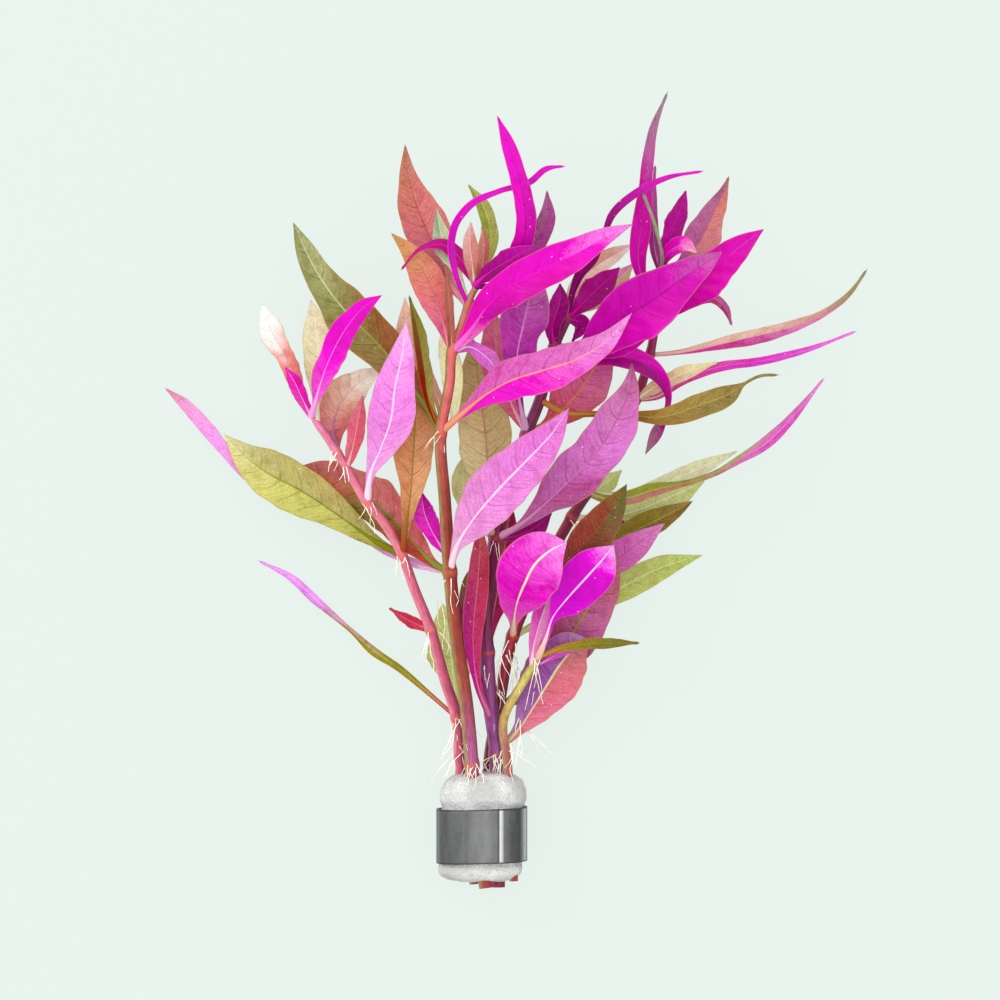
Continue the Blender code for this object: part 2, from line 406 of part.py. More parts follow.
def directions(points):
    """The unit direction of a line of points at each of them."""
    along = np.gradient(np.array(points), axis=0)
    return [Vector(a).normalized() for a in along]


def loft(name, rings, tip=None):
    """A closed mesh through rings of equal length, with a flat start and a pointed or flat end."""
    mesh = bpy.data.meshes.new(name)
    bm = bmesh.new()
    made = [[bm.verts.new(p) for p in ring] for ring in rings]
    sides = len(rings[0])
    for low, high in zip(made, made[1:]):
        for i in range(sides):
            j = (i + 1) % sides
            bm.faces.new((low[i], low[j], high[j], high[i]))
    bm.faces.new(made[0])
    if tip is None:
        bm.faces.new(made[-1])
    else:
        point = bm.verts.new(tip)
        for i in range(sides):
            bm.faces.new((made[-1][i], made[-1][(i + 1) % sides], point))
    bmesh.ops.recalc_face_normals(bm, faces=bm.faces)
    bm.to_mesh(mesh)
    bm.free()
    made_object = bpy.data.objects.new(name, mesh)
    bpy.context.scene.collection.objects.link(made_object)
    return made_object


def stem_knots(name):
    """A stem's knots in metres, each with the stem's radius there."""
    return [(*place(x, y, z), r * MM) for x, y, z, r, _ in STEMS[name]]


STEM_LINES = {name: smooth(stem_knots(name), STEM_SAMPLES) for name in STEMS}


def distance_to_stem(point, stem):
    """How far a point is from a stem that is as wide everywhere as at a node."""
    return min((Vector(row[:3]) - point).length - row[3] * NODE_SWELL for row in STEM_LINES[stem])


def blade_rows(knots, stem):
    """Samples of a blade's midrib with its half width and tilt, from where it is clear of its stem.

    A blade without a stem keeps all of them, because it grows into the stem that it belongs to.
    """
    real = [(*place(x, y, z), w * UNIT, math.radians(tilt)) for x, y, z, w, tilt in knots]
    rows = smooth(real, BLADE_SAMPLES)
    first = 0
    while stem and distance_to_stem(Vector(rows[first][:3]), stem) < PETIOLE_HALF_THICK + GAP:
        first += 1
    return rows[first:]


def blade(name, knots, stem, rings):
    """One leaf: a thin lens along its midrib, a round stalk at its foot and a point at its tip."""
    rows = blade_rows(knots, stem)
    lines = directions(rows[:, :3])
    picked = np.linspace(0, len(rows) - 1, rings + 1).round().astype(int)
    made = []
    for step, at in enumerate(picked[:-1]):
        middle, tilt = Vector(rows[at][:3]), float(rows[at][4])
        half = max(float(rows[at][3]), PETIOLE_HALF_THICK)
        along = lines[at]
        level = along.cross(Vector((0, 0, 1))).normalized()
        lift = level.cross(along)
        right = level * math.cos(tilt) - lift * math.sin(tilt)
        up = lift * math.cos(tilt) + level * math.sin(tilt)
        cup = CUP * min(1, half / CUP_FULL_AT)
        stalk_share = max(0, 1 - step / PETIOLE_RINGS)
        thick = RIB_HALF_THICK + (PETIOLE_HALF_THICK - RIB_HALF_THICK) * stalk_share
        edge = MARGIN_HALF_THICK if half > PETIOLE_WIDEST else PETIOLE_MARGIN_SHARE * thick
        out = right * half * math.cos(cup)
        rise = up * half * math.sin(cup)
        made.append([middle - out + rise - up * edge, middle - up * thick,
                     middle + out + rise - up * edge, middle + out + rise + up * edge,
                     middle + up * thick, middle - out + rise + up * edge])
    return loft(name, made, Vector(rows[-1][:3]))


def stem_tube(name):
    """A stem: a round tube that swells at its nodes and closes in a blunt bud."""
    knots = stem_knots(name)
    rows = smooth(knots, STEM_RINGS_PER_KNOT * (len(knots) - 1) + 1, spread_over_knots=True)
    lines = directions(rows[:, :3])
    turns = [2 * math.pi * k / STEM_SIDES for k in range(STEM_SIDES)]
    rings = []
    for i, (row, along) in enumerate(zip(rows, lines)):
        at_knot, between = divmod(i, STEM_RINGS_PER_KNOT)
        is_node = between == 0 and STEMS[name][at_knot][4]
        radius = float(row[3]) * (NODE_SWELL if is_node else 1)
        across = along.cross(Vector((0, 0, 1))).normalized()
        over = across.cross(along)
        rings.append([Vector(row[:3]) + radius * (across * math.cos(a) + over * math.sin(a))
                      for a in turns])
    return loft(name, rings, Vector(rows[-1][:3]) + lines[-1] * float(rows[-1][3]))


def add_boolean(body, other, operation):
    """Joins or cuts a body with another object, which is kept as a guide."""
    other.hide_render = True
    other.display_type = "WIRE"
    step = body.modifiers.new(other.name, "BOOLEAN")
    step.operation = operation
    step.object = other


def make_stems():
    """The five stems, with the smallest leaves of their shoot tips grown on."""
    for name in STEMS:
        body = stem_tube(name)
        body.data.materials.append(finish_of(name, STEM_COLOURS[name], 0.45))
        for count, knots in enumerate(TIP_BLADES[name], 1):
            add_boolean(body, blade(f"{name}_tip_{count}", knots, None, TIP_BLADE_RINGS), "UNION")


def make_leaves():
    """The leaves that are pieces of their own."""
    for name, (stem, knots) in BLADES.items():
        body = blade(name, knots, stem, LONG_BLADE_RINGS if name in LONG_BLADES else BLADE_RINGS)
        slot = next(slot for slot, (_, leaves) in LEAF_COLOURS.items() if name in leaves)
        body.data.materials.append(finish_of(slot, LEAF_COLOURS[slot][0], 0.5))


def oval(turn, half_width, half_depth):
    """A point of a rounded section at this turn, from its middle."""
    x = half_width * math.copysign(abs(math.cos(turn)) ** ROUNDNESS, math.cos(turn))
    z = half_depth * math.copysign(abs(math.sin(turn)) ** ROUNDNESS, math.sin(turn))
    return x, z


def holder_middle(y):
    """The middle of the foam at this level of the outline."""
    middle = place(HOLDER_X, HOLDER_Y, (FOAM_BACK + FOAM_FRONT) / 2 / MM)
    level = place(HOLDER_X, y, middle.z / MM).y
    return Vector((middle.x + (level - middle.y) * math.tan(HOLDER_LEAN), level, middle.z))


def make_foam():
    """The foam sleeve: it bulges above and below the strip, and a channel holds each stem."""
    half_depth = (FOAM_FRONT - FOAM_BACK) / 2
    rings = []
    for y, share in FOAM_OUTLINE:
        middle = holder_middle(y)
        ring = []
        for k in range(FOAM_SIDES):
            x, z = oval(2 * math.pi * (k + 0.5) / FOAM_SIDES, FOAM_HALF_WIDTH, half_depth)
            ring.append(middle + Vector((x, 0, z)) * share)
        rings.append(ring)
    foam = loft("foam_wrap", rings)
    foam.data.materials.append(finish_of("foam", "E0DEDC", 0.9))
    for name in STEMS:
        add_boolean(foam, make_channel(name), "DIFFERENCE")


def make_channel(stem):
    """The hole in the foam round one stem, along the stem's first three knots."""
    low, high, top = [place(x, y, z) for x, y, z, _, _ in STEMS[stem][:3]]
    path = [low + (low - high) * CHANNEL_LOW_SHARE, high, top + (top - high) * CHANNEL_TOP_SHARE]
    radius = STEMS[stem][0][3] * MM * CHANNEL_ROOM + GAP
    turns = [2 * math.pi * k / CHANNEL_SIDES for k in range(CHANNEL_SIDES)]
    rings = [[point + radius * Vector((math.cos(a), 0, math.sin(a))) for a in turns] for point in path]
    return loft(f"{stem}_channel", rings)


def make_strip():
    """The strip: one flat band bent once round the foam, with its ends lapped on the right."""
    half_depth = STRIP_DEPTH / 2
    middle = holder_middle(HOLDER_Y)
    middle.z = half_depth
    low, high = holder_middle(STRIP_BOTTOM).y, holder_middle(STRIP_TOP).y
    whole = 2 * math.pi
    sections = []
    for k in range(STRIP_STEPS + 1):
        turn = STRIP_START + (whole + STRIP_LAP) * k / STRIP_STEPS
        lapped = max(0.0, min(1.0, (turn - whole - STRIP_START) / STRIP_LAP_RISE + 1))
        x, z = oval(turn, STRIP_HALF_WIDTH, half_depth)
        if abs(x) < STRIP_FLAT and z < 0:
            z = -half_depth
        skin = Vector((x, 0, z))
        outwards = skin.normalized()
        outer = skin + outwards * (STRIP_THICK + STRIP_LAP_GAP) * lapped
        inner = outer - outwards * STRIP_THICK
        sections.append([Vector((middle.x, level + p.x * math.tan(STRIP_LEAN), middle.z)) + p
                         for level, p in ((low, outer), (low, inner), (high, inner), (high, outer))])
    strip = loft("metal_strip", sections)
    strip.data.materials.append(finish_of("metal_strip", "787878", 0.45, 1.0))


clear_scene()
make_foam()
make_strip()
make_stems()
make_leaves()
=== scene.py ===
# %% [markdown]
# # A bunch of Alternanthera reineckii
#
# Five leafy stems of an aquarium plant are held by a sleeve of white foam and a band of soft grey metal.
# The bunch has no pot, so it lies on its back and the camera looks straight down on it. The solids that
# carry the bunch come from the frame. This lesson builds the fine leaves, stems, roots, foam and metal
# that stand for them, one step in each cell.

# %% Load the frame
import math

import bpy
import numpy as np
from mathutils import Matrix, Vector


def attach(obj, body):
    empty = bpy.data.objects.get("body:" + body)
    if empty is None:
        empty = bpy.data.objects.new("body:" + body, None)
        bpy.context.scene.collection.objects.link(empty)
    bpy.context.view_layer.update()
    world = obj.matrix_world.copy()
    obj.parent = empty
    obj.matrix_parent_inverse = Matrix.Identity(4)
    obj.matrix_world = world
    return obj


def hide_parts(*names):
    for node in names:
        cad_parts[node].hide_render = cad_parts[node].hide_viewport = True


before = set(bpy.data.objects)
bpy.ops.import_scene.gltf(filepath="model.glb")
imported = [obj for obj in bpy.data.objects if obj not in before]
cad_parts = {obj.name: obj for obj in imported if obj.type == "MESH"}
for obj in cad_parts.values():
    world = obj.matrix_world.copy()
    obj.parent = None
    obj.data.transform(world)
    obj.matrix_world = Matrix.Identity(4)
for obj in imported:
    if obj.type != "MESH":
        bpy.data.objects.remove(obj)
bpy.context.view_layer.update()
print("frame holds", len(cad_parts), "solids")

# %% [markdown]
# ## Where things are
#
# The camera sees a square of 250 mm by 250 mm, which is 1000 steps of a quarter millimetre each way. A
# point is given by its step across, its step down and its height above the surface in millimetres, and a
# higher point is nearer to the camera, so it sits a little further in. Writing places in this way makes
# it easy to lay a leaf exactly over the one that the eye sees.

# %% Places in the view
MM = 0.001
STEP = 0.25 * MM
VIEW_STEPS = 1000
VIEW_MIDDLE = VIEW_STEPS / 2
CAMERA_HEIGHT = 1400 * MM
CENTRE_X, CENTRE_Y = 4.1 * MM, 1.75 * MM  # the middle of the bunch, from the middle of the view


def place(x, y, height_mm):
    """The point in metres at this place of the view and this height above the surface."""
    nearer = 1 - height_mm * MM / CAMERA_HEIGHT
    return Vector(((x - VIEW_MIDDLE) * STEP * nearer - CENTRE_X,
                   (VIEW_MIDDLE - y) * STEP * nearer - CENTRE_Y, height_mm * MM))


# %% Smooth lines through a few points
def smooth(knots, count):
    """Evenly spaced samples of a smooth curve through the knots: rows of x, y, z and other values."""
    knots = np.array(knots, float)
    steps = np.linalg.norm(np.diff(knots[:, :3], axis=0), axis=1)
    at_knot = np.concatenate([[0], np.cumsum(steps)])
    slopes = np.gradient(knots, at_knot, axis=0)
    at = np.linspace(0, at_knot[-1], count)
    left = np.clip(np.searchsorted(at_knot, at, side="right") - 1, 0, len(knots) - 2)
    span = (at_knot[left + 1] - at_knot[left])[:, None]
    s = (at - at_knot[left])[:, None] / span
    return ((2 * s**3 - 3 * s**2 + 1) * knots[left] + (s**3 - 2 * s**2 + s) * span * slopes[left]
            + (3 * s**2 - 2 * s**3) * knots[left + 1] + (s**3 - s**2) * span * slopes[left + 1])


# %% Small helpers for modelling
def select_only(piece):
    """Selects one object and nothing else, because an operator acts on all that is selected."""
    bpy.ops.object.select_all(action="DESELECT")
    piece.select_set(True)
    bpy.context.view_layer.objects.active = piece


def own_copy(model, name):
    """A copy of a model with its own mesh."""
    copy = model.copy()
    copy.data = model.data.copy()
    copy.name = copy.data.name = name
    bpy.context.scene.collection.objects.link(copy)
    return copy


def points_of(piece):
    """The mesh's points as an array, one row each."""
    flat = np.empty(len(piece.data.vertices) * 3)
    piece.data.vertices.foreach_get("co", flat)
    return flat.reshape(-1, 3)


def move_points(piece, points):
    """Writes the points back into the mesh."""
    piece.data.vertices.foreach_set("co", points.ravel())
    piece.data.update()


def apply_step(piece, kind, **settings):
    """Adds a modifier and applies it."""
    select_only(piece)
    step = piece.modifiers.new(kind.lower(), kind)
    for key, value in settings.items():
        setattr(step, key, value)
    bpy.ops.object.modifier_apply(modifier=step.name)


# edges that reach less than this along the axis run across it, and stay whole
SMALLEST_EDGE = 0.001


def cut_across(piece, axis, cuts):
    """Divides the long edges that run along an axis (0, 1 or 2), which leaves rings round the piece."""
    select_only(piece)
    bpy.ops.object.mode_set(mode="EDIT")
    bpy.ops.mesh.select_mode(type="EDGE")
    bpy.ops.mesh.select_all(action="DESELECT")
    bpy.ops.object.mode_set(mode="OBJECT")
    for edge in piece.data.edges:
        ends = [piece.data.vertices[i].co[axis] for i in edge.vertices]
        edge.select = abs(ends[0] - ends[1]) > SMALLEST_EDGE
    bpy.ops.object.mode_set(mode="EDIT")
    bpy.ops.mesh.subdivide(number_cuts=cuts)
    bpy.ops.mesh.select_mode(type="VERT")
    bpy.ops.object.mode_set(mode="OBJECT")


def bend_along(piece, rows, radii):
    """Bends a straight piece, which lies along X from 0 to 1, so that it follows a line.

    The line's radius widens the piece and its tilt turns it: plus turns the right-hand edge down.
    """
    bpy.ops.object.select_all(action="DESELECT")
    line = bpy.data.curves.new("line", "CURVE")
    line.dimensions = "3D"
    line.twist_mode = "Z_UP"
    line.use_stretch = True
    line.use_deform_bounds = False
    spline = line.splines.new("POLY")
    spline.points.add(len(rows) - 1)
    for point, row, radius in zip(spline.points, rows, radii):
        point.co = (*row[:3], 1)
        point.radius = radius
        point.tilt = row[4]
    guide = bpy.data.objects.new("line", line)
    bpy.context.scene.collection.objects.link(guide)
    apply_step(piece, "CURVE", object=guide, deform_axis="POS_X")
    bpy.data.objects.remove(guide)


# %% [markdown]
# ## The camera, the light and the surface
#
# The photograph is lit almost without shadow, on a pale mint ground, so that the thin leaves glow. A sheet
# that is lit softly from below, as on a light table, a very large soft light above and a pale sky give
# that. The camera hangs 1.4 m above the surface with a long lens, which takes in 250 mm.

# %% Camera
SENSOR_MM = 36
VIEW_WIDTH = VIEW_STEPS * STEP

camera_data = bpy.data.cameras.new("camera")
camera_data.sensor_width = SENSOR_MM
camera_data.lens = SENSOR_MM * CAMERA_HEIGHT / VIEW_WIDTH
camera = bpy.data.objects.new("camera", camera_data)
camera.location = (-CENTRE_X, -CENTRE_Y, CAMERA_HEIGHT)
bpy.context.scene.collection.objects.link(camera)
bpy.context.scene.camera = camera
bpy.context.scene.view_settings.view_transform = "Standard"
print("the lens is", round(camera_data.lens, 1), "mm")

# %% Colours and the one helper that adds a shader node
def linear(hex_colour):
    """An sRGB hex colour as linear values with alpha."""
    parts = [int(hex_colour[i:i + 2], 16) / 255 for i in (0, 2, 4)]
    return (*[p / 12.92 if p <= 0.04045 else ((p + 0.055) / 1.055) ** 2.4 for p in parts], 1.0)


def add_node(tree, kind, links=None, values=None, **settings):
    """Adds a shader node with its settings, the values of its sockets and the links into them."""
    made = tree.nodes.new("ShaderNode" + kind)
    for key, value in settings.items():
        setattr(made, key, value)
    for socket, value in (values or {}).items():
        made.inputs[socket].default_value = value
    for socket, source in (links or {}).items():
        tree.links.new(source, made.inputs[socket])
    return made


def new_finish(name):
    """An empty material and its node tree."""
    finish = bpy.data.materials.new(name)
    finish.use_nodes = True
    finish.node_tree.nodes.clear()
    return finish, finish.node_tree


# %% The pale surface and the studio light
GROUND = "EAF4EF"
GROUND_GLOW = 0.90  # how much of the sheet's brightness comes from below
FLOOR_SIZE = 6.0
SKY_STRENGTH = 1.19


def light_table():
    """Opal sheet of a light table: matt, with a faint tooth, and lit softly from below."""
    finish, tree = new_finish("opal_light_table")
    spot = add_node(tree, "TexCoord")
    tooth = add_node(tree, "TexNoise", {"Vector": spot.outputs["Object"]}, {"Scale": 900.0})
    bump = add_node(tree, "Bump", {"Height": tooth.outputs["Fac"]}, {"Strength": 0.05, "Distance": 0.2 * MM})
    shader = add_node(tree, "BsdfPrincipled", {"Normal": bump.outputs["Normal"]},
                      {"Base Color": linear("3C403E"), "Roughness": 0.95, "Specular IOR Level": 0.1,
                       "Emission Color": linear(GROUND), "Emission Strength": GROUND_GLOW})
    add_node(tree, "OutputMaterial", {"Surface": shader.outputs["BSDF"]})
    return finish


bpy.ops.object.select_all(action="DESELECT")
bpy.ops.mesh.primitive_plane_add(size=FLOOR_SIZE, location=(0, 0, 0))
floor = bpy.context.object
floor.name = "ground"
floor.data.materials.append(light_table())

sky = bpy.data.worlds.new("sky")
sky.use_nodes = True
sky.node_tree.nodes["Background"].inputs["Color"].default_value = linear("F6FAF8")
sky.node_tree.nodes["Background"].inputs["Strength"].default_value = SKY_STRENGTH
bpy.context.scene.world = sky

# Name, place in metres, size, power in watts: a wide light overhead and a smaller one from the upper left
LIGHTS = [("overhead", (0.0, 0.2, 2.2), 2.4, 31.0), ("left_window", (-1.4, 1.1, 1.3), 0.9, 16.0)]
for name, spot, size, power in LIGHTS:
    lamp = bpy.data.lights.new(name, "AREA")
    lamp.size = size
    lamp.energy = power
    lit = bpy.data.objects.new(name, lamp)
    lit.location = spot
    lit.rotation_mode = "QUATERNION"
    lit.rotation_quaternion = (-Vector(spot)).to_track_quat("-Z", "Y")
    bpy.context.scene.collection.objects.link(lit)
print("lights:", [name for name, *_ in LIGHTS])

# %% [markdown]
# ## The paths of the leaves
#
# Each leaf is a strip of tissue that follows its midrib from a joint of the stem to its tip. The path has
# a few points, each with the step across, the step down, the height in millimetres, half the blade's
# width in steps and a tilt in degrees. The small leaves of the shoot tips have no name of their own: they
# belong to their stem.

# %% Tables for the leaf paths
LEAF_PATHS = {}
SHOOT_PATHS = {}


def count_paths(stem):
    """Prints how many leaves and shoot leaves a stem carries."""
    print(len(LEAF_PATHS[stem]), "leaves and", len(SHOOT_PATHS[stem]), "shoot leaves on", stem)


# %% Leaves of the left stem
LEAF_PATHS["stem_left"] = {
    "leaf_left_1": [
        (457, 718, 14, 2, 0), (425, 690, 11, 2.4, 0), (400, 669, 9, 3.6, 10), (372, 650, 7, 4.2, 10),
        (350, 630, 5.5, 2.6, 40), (335, 617, 4, 3, 20), (318, 602, 2.6, 4.2, 0), (290, 577, 1.1, 3.4, 0),
        (257, 560, 0.5, 0, 0)],
    "leaf_left_2": [
        (457, 718, 14, 2, 0), (455, 690, 9.5, 10, 0), (451, 655, 7, 22, 0), (446, 625, 6, 14, 0),
        (442, 603, 5.5, 0, 0)],
    "leaf_left_3": [
        (402, 555, 21.5, 2, 0), (375, 541, 20.5, 6, 0), (345, 520, 18.5, 14, 0), (300, 490, 14.5, 24, 0),
        (266, 472, 10.5, 23, 0), (245, 456, 8, 13, 0), (224, 434, 5.6, 0, 0)],
    "leaf_left_4": [
        (402, 555, 21.5, 2, 0), (407, 520, 26, 5, 0), (411, 490, 27.4, 11, 0), (413, 460, 28, 19, 0),
        (415, 425, 27, 20, 0), (418, 388, 24, 9, 0), (420, 364, 22, 0, 0)],
    "leaf_left_5": [
        (367, 502, 24, 2, 0), (371, 472, 29, 5, 0), (381, 448, 33, 14, 0), (391, 419, 37, 22, 0),
        (395, 387, 39, 20, 0), (402, 355, 40, 12, 0), (406, 322, 40, 0, 0)],
    "leaf_left_7": [
        (337, 452, 26, 2, 0), (333, 430, 22.5, 13, 0), (340, 404, 20.5, 20, 0), (360, 382, 19, 13, 0),
        (383, 367, 18, 0, 0)],
    "leaf_left_8": [
        (316, 422, 27.2, 2, 0), (317, 402, 23, 4, 0), (318, 378, 19.6, 11, 0), (318, 348, 17, 15, 0),
        (315, 322, 14, 10, 0), (311, 299, 12, 0, 0)],
    "leaf_left_9": [
        (311, 416, 27.5, 2, 0), (298, 387, 25, 6, 0), (283, 352, 22.4, 10, 0), (270, 328, 20.5, 11, 0),
        (262, 304, 18, 0, 0)],
    "leaf_left_10": [
        (311, 416, 27.5, 2, 0), (315, 403, 31, 3, 0), (321, 382, 33, 9, 0), (330, 358, 34.6, 12, 0),
        (345, 330, 36, 12, 0), (364, 307, 38, 8, 0), (382, 295, 39, 0, 0)],
}
SHOOT_PATHS["stem_left"] = [
    [(311, 416, 27.5, 3, 0), (302, 398, 29, 6, 0), (294, 381, 29.6, 7, 0), (285, 367, 30, 0, 0)],
    [(431, 630, 18.5, 3, 0), (410, 621, 17, 6, 0), (389, 608, 16, 0, 0)],
    [(347, 468, 25.5, 2, 0), (353, 447, 28.5, 7, 0), (358, 420, 30, 8, 0), (363, 395, 31, 0, 0)],
]
count_paths("stem_left")

# %% Leaves of the front stem
LEAF_PATHS["stem_front"] = {
    "leaf_front_1": [
        (450, 572, 27, 3, 0), (436, 565, 24, 4, 0), (414, 543, 19.5, 12, 0), (388, 514, 16, 21, 0),
        (353, 487, 12.5, 20, 0), (320, 472, 10.5, 11, 0), (293, 468, 9.5, 0, 0)],
    "leaf_front_2": [
        (450, 572, 27, 3, 0), (456, 548, 32, 5, 0), (472, 521, 37, 18, 0), (498, 490, 41, 27, 0),
        (528, 459, 44, 23, 0), (553, 432, 46, 12, 0), (569, 408, 47, 0, 0)],
    "leaf_front_4": [
        (441, 432, 35, 2, 0), (462, 414, 38.5, 4, 0), (484, 396, 40.5, 10, 0), (510, 381, 42, 20, 0),
        (541, 371, 44, 21, 0), (575, 360, 45.5, 17, 0), (605, 342, 46.5, 10, 0), (632, 313, 47.5, 0, 0)],
    "leaf_front_5": [
        (441, 432, 35, 2, 0), (425, 405, 31, 5, 0), (406, 379, 28, 13, 0), (380, 346, 25, 23, 0),
        (347, 313, 22, 22, 0), (318, 274, 19, 14, 0), (303, 245, 17.5, 8, 0), (293, 222, 16.5, 0, 0)],
    "leaf_front_6": [
        (441, 432, 35, 2, 0), (428, 398, 36, 5, 30), (424, 370, 36.3, 9, 40), (419, 338, 36.3, 8, 40),
        (409, 295, 36.3, 0, 30)],
    "leaf_front_7": [
        (441, 432, 35, 2, 0), (440, 405, 26.5, 4, 0), (424, 372, 19, 9, 0), (408, 335, 16, 12, 0),
        (405, 297, 14, 0, 0)],
    "leaf_front_8": [
        (452, 352, 39.5, 2, 0), (444, 325, 38.5, 8, 0), (436, 300, 38, 16, 0), (424, 273, 38, 15, 0),
        (408, 250, 38, 8, 0), (391, 233, 38, 0, 0)],
    "leaf_front_9": [
        (452, 352, 39.5, 3, 0), (472, 329, 43.5, 8, 0), (487, 307, 47.5, 14, 0), (510, 287, 51, 18, 0),
        (545, 269, 54, 19, 0), (580, 251, 56.5, 14, 0), (608, 235, 58, 8, 0), (633, 224, 59, 0, 0)],
    "leaf_front_10": [
        (468, 305, 42, 2, 0), (455, 290, 38, 5, 0), (443, 265, 34.5, 16, 0), (429, 235, 31.5, 23, 0),
        (417, 207, 29.5, 18, 0), (408, 176, 28, 9, 0), (405, 144, 27, 0, 0)],
    "leaf_front_11": [
        (468, 305, 42, 2, 0), (457, 278, 45.5, 2.5, 10), (451, 250, 46.5, 3.5, 20), (455, 225, 47, 4, 20),
        (470, 205, 47.3, 3.5, 10), (500, 191, 47.5, 2.7, 0), (530, 182, 47.5, 3, 0), (546, 169, 47, 2.7, 0),
        (566, 166, 46.5, 0, 0)],
    "leaf_front_12": [
        (475, 287, 43, 2, 0), (495, 284, 43.6, 3, 0), (513, 262, 45.6, 8, 0), (525, 232, 49, 10, 0),
        (524, 202, 51, 9, 0), (517, 171, 52, 8, 0), (509, 147, 52.5, 7, 0), (497, 115, 52.5, 0, 0)],
    "leaf_front_14": [
        (468, 305, 42, 2, 0), (488, 297, 41, 2, 0), (513, 271, 40.6, 5, 0), (535, 243, 41.5, 11, 0),
        (547, 217, 43, 8, 0), (547, 190, 44, 0, 0)],
}
SHOOT_PATHS["stem_front"] = [
    [(475, 286, 42.8, 3, 0), (472, 262, 43.6, 7, 0), (470, 242, 44, 7, 0), (471, 222, 44.2, 0, 0)],
    [(475, 290, 42.8, 3, 0), (483, 262, 44.2, 5, 0), (484, 244, 44.4, 5, 0), (482, 226, 44.6, 0, 0)],
    [(452, 352, 39.5, 3, 0), (451, 328, 43, 4, 0), (449, 300, 43.5, 4, 0), (446, 264, 43.6, 0, 0)],
    [(448, 556, 27.8, 2, 0), (434, 535, 25.5, 8, 0), (425, 515, 24.5, 11, 0), (421, 490, 23.5, 0, 0)],
    [(475, 285, 43, 2, 0), (490, 272, 47.5, 8, 0), (508, 261, 49.8, 11, 0), (523, 252, 51.5, 7, 0),
     (536, 246, 52.5, 0, 0)],
    [(468, 305, 42, 2, 0), (484, 266, 36.5, 5, 0), (491, 237, 33, 7, 0), (484, 208, 30.5, 7, 0),
     (468, 184, 28, 0, 0)],
    [(475, 285, 43, 1.5, 0), (461, 259, 41.6, 8, 0), (442, 245, 41.4, 6, 20), (421, 249, 41.2, 3, 40),
     (401, 270, 41, 0, 40)],
    [(452, 352, 39.5, 2, 0), (470, 347, 37.5, 6, 0), (487, 358, 36, 9, 0), (507, 388, 34.5, 0, 0)],
    [(441, 432, 35, 2, 0), (453, 419, 31.5, 3, 0), (454, 400, 29.5, 7, 0), (451, 370, 28.6, 11, 0),
     (447, 345, 28, 8, 0), (443, 322, 27.6, 0, 0)],
    [(468, 305, 42, 2, 0), (460, 278, 41, 3, 0), (444, 245, 38.8, 10, 0), (436, 208, 37, 0, 0)],
]
count_paths("stem_front")

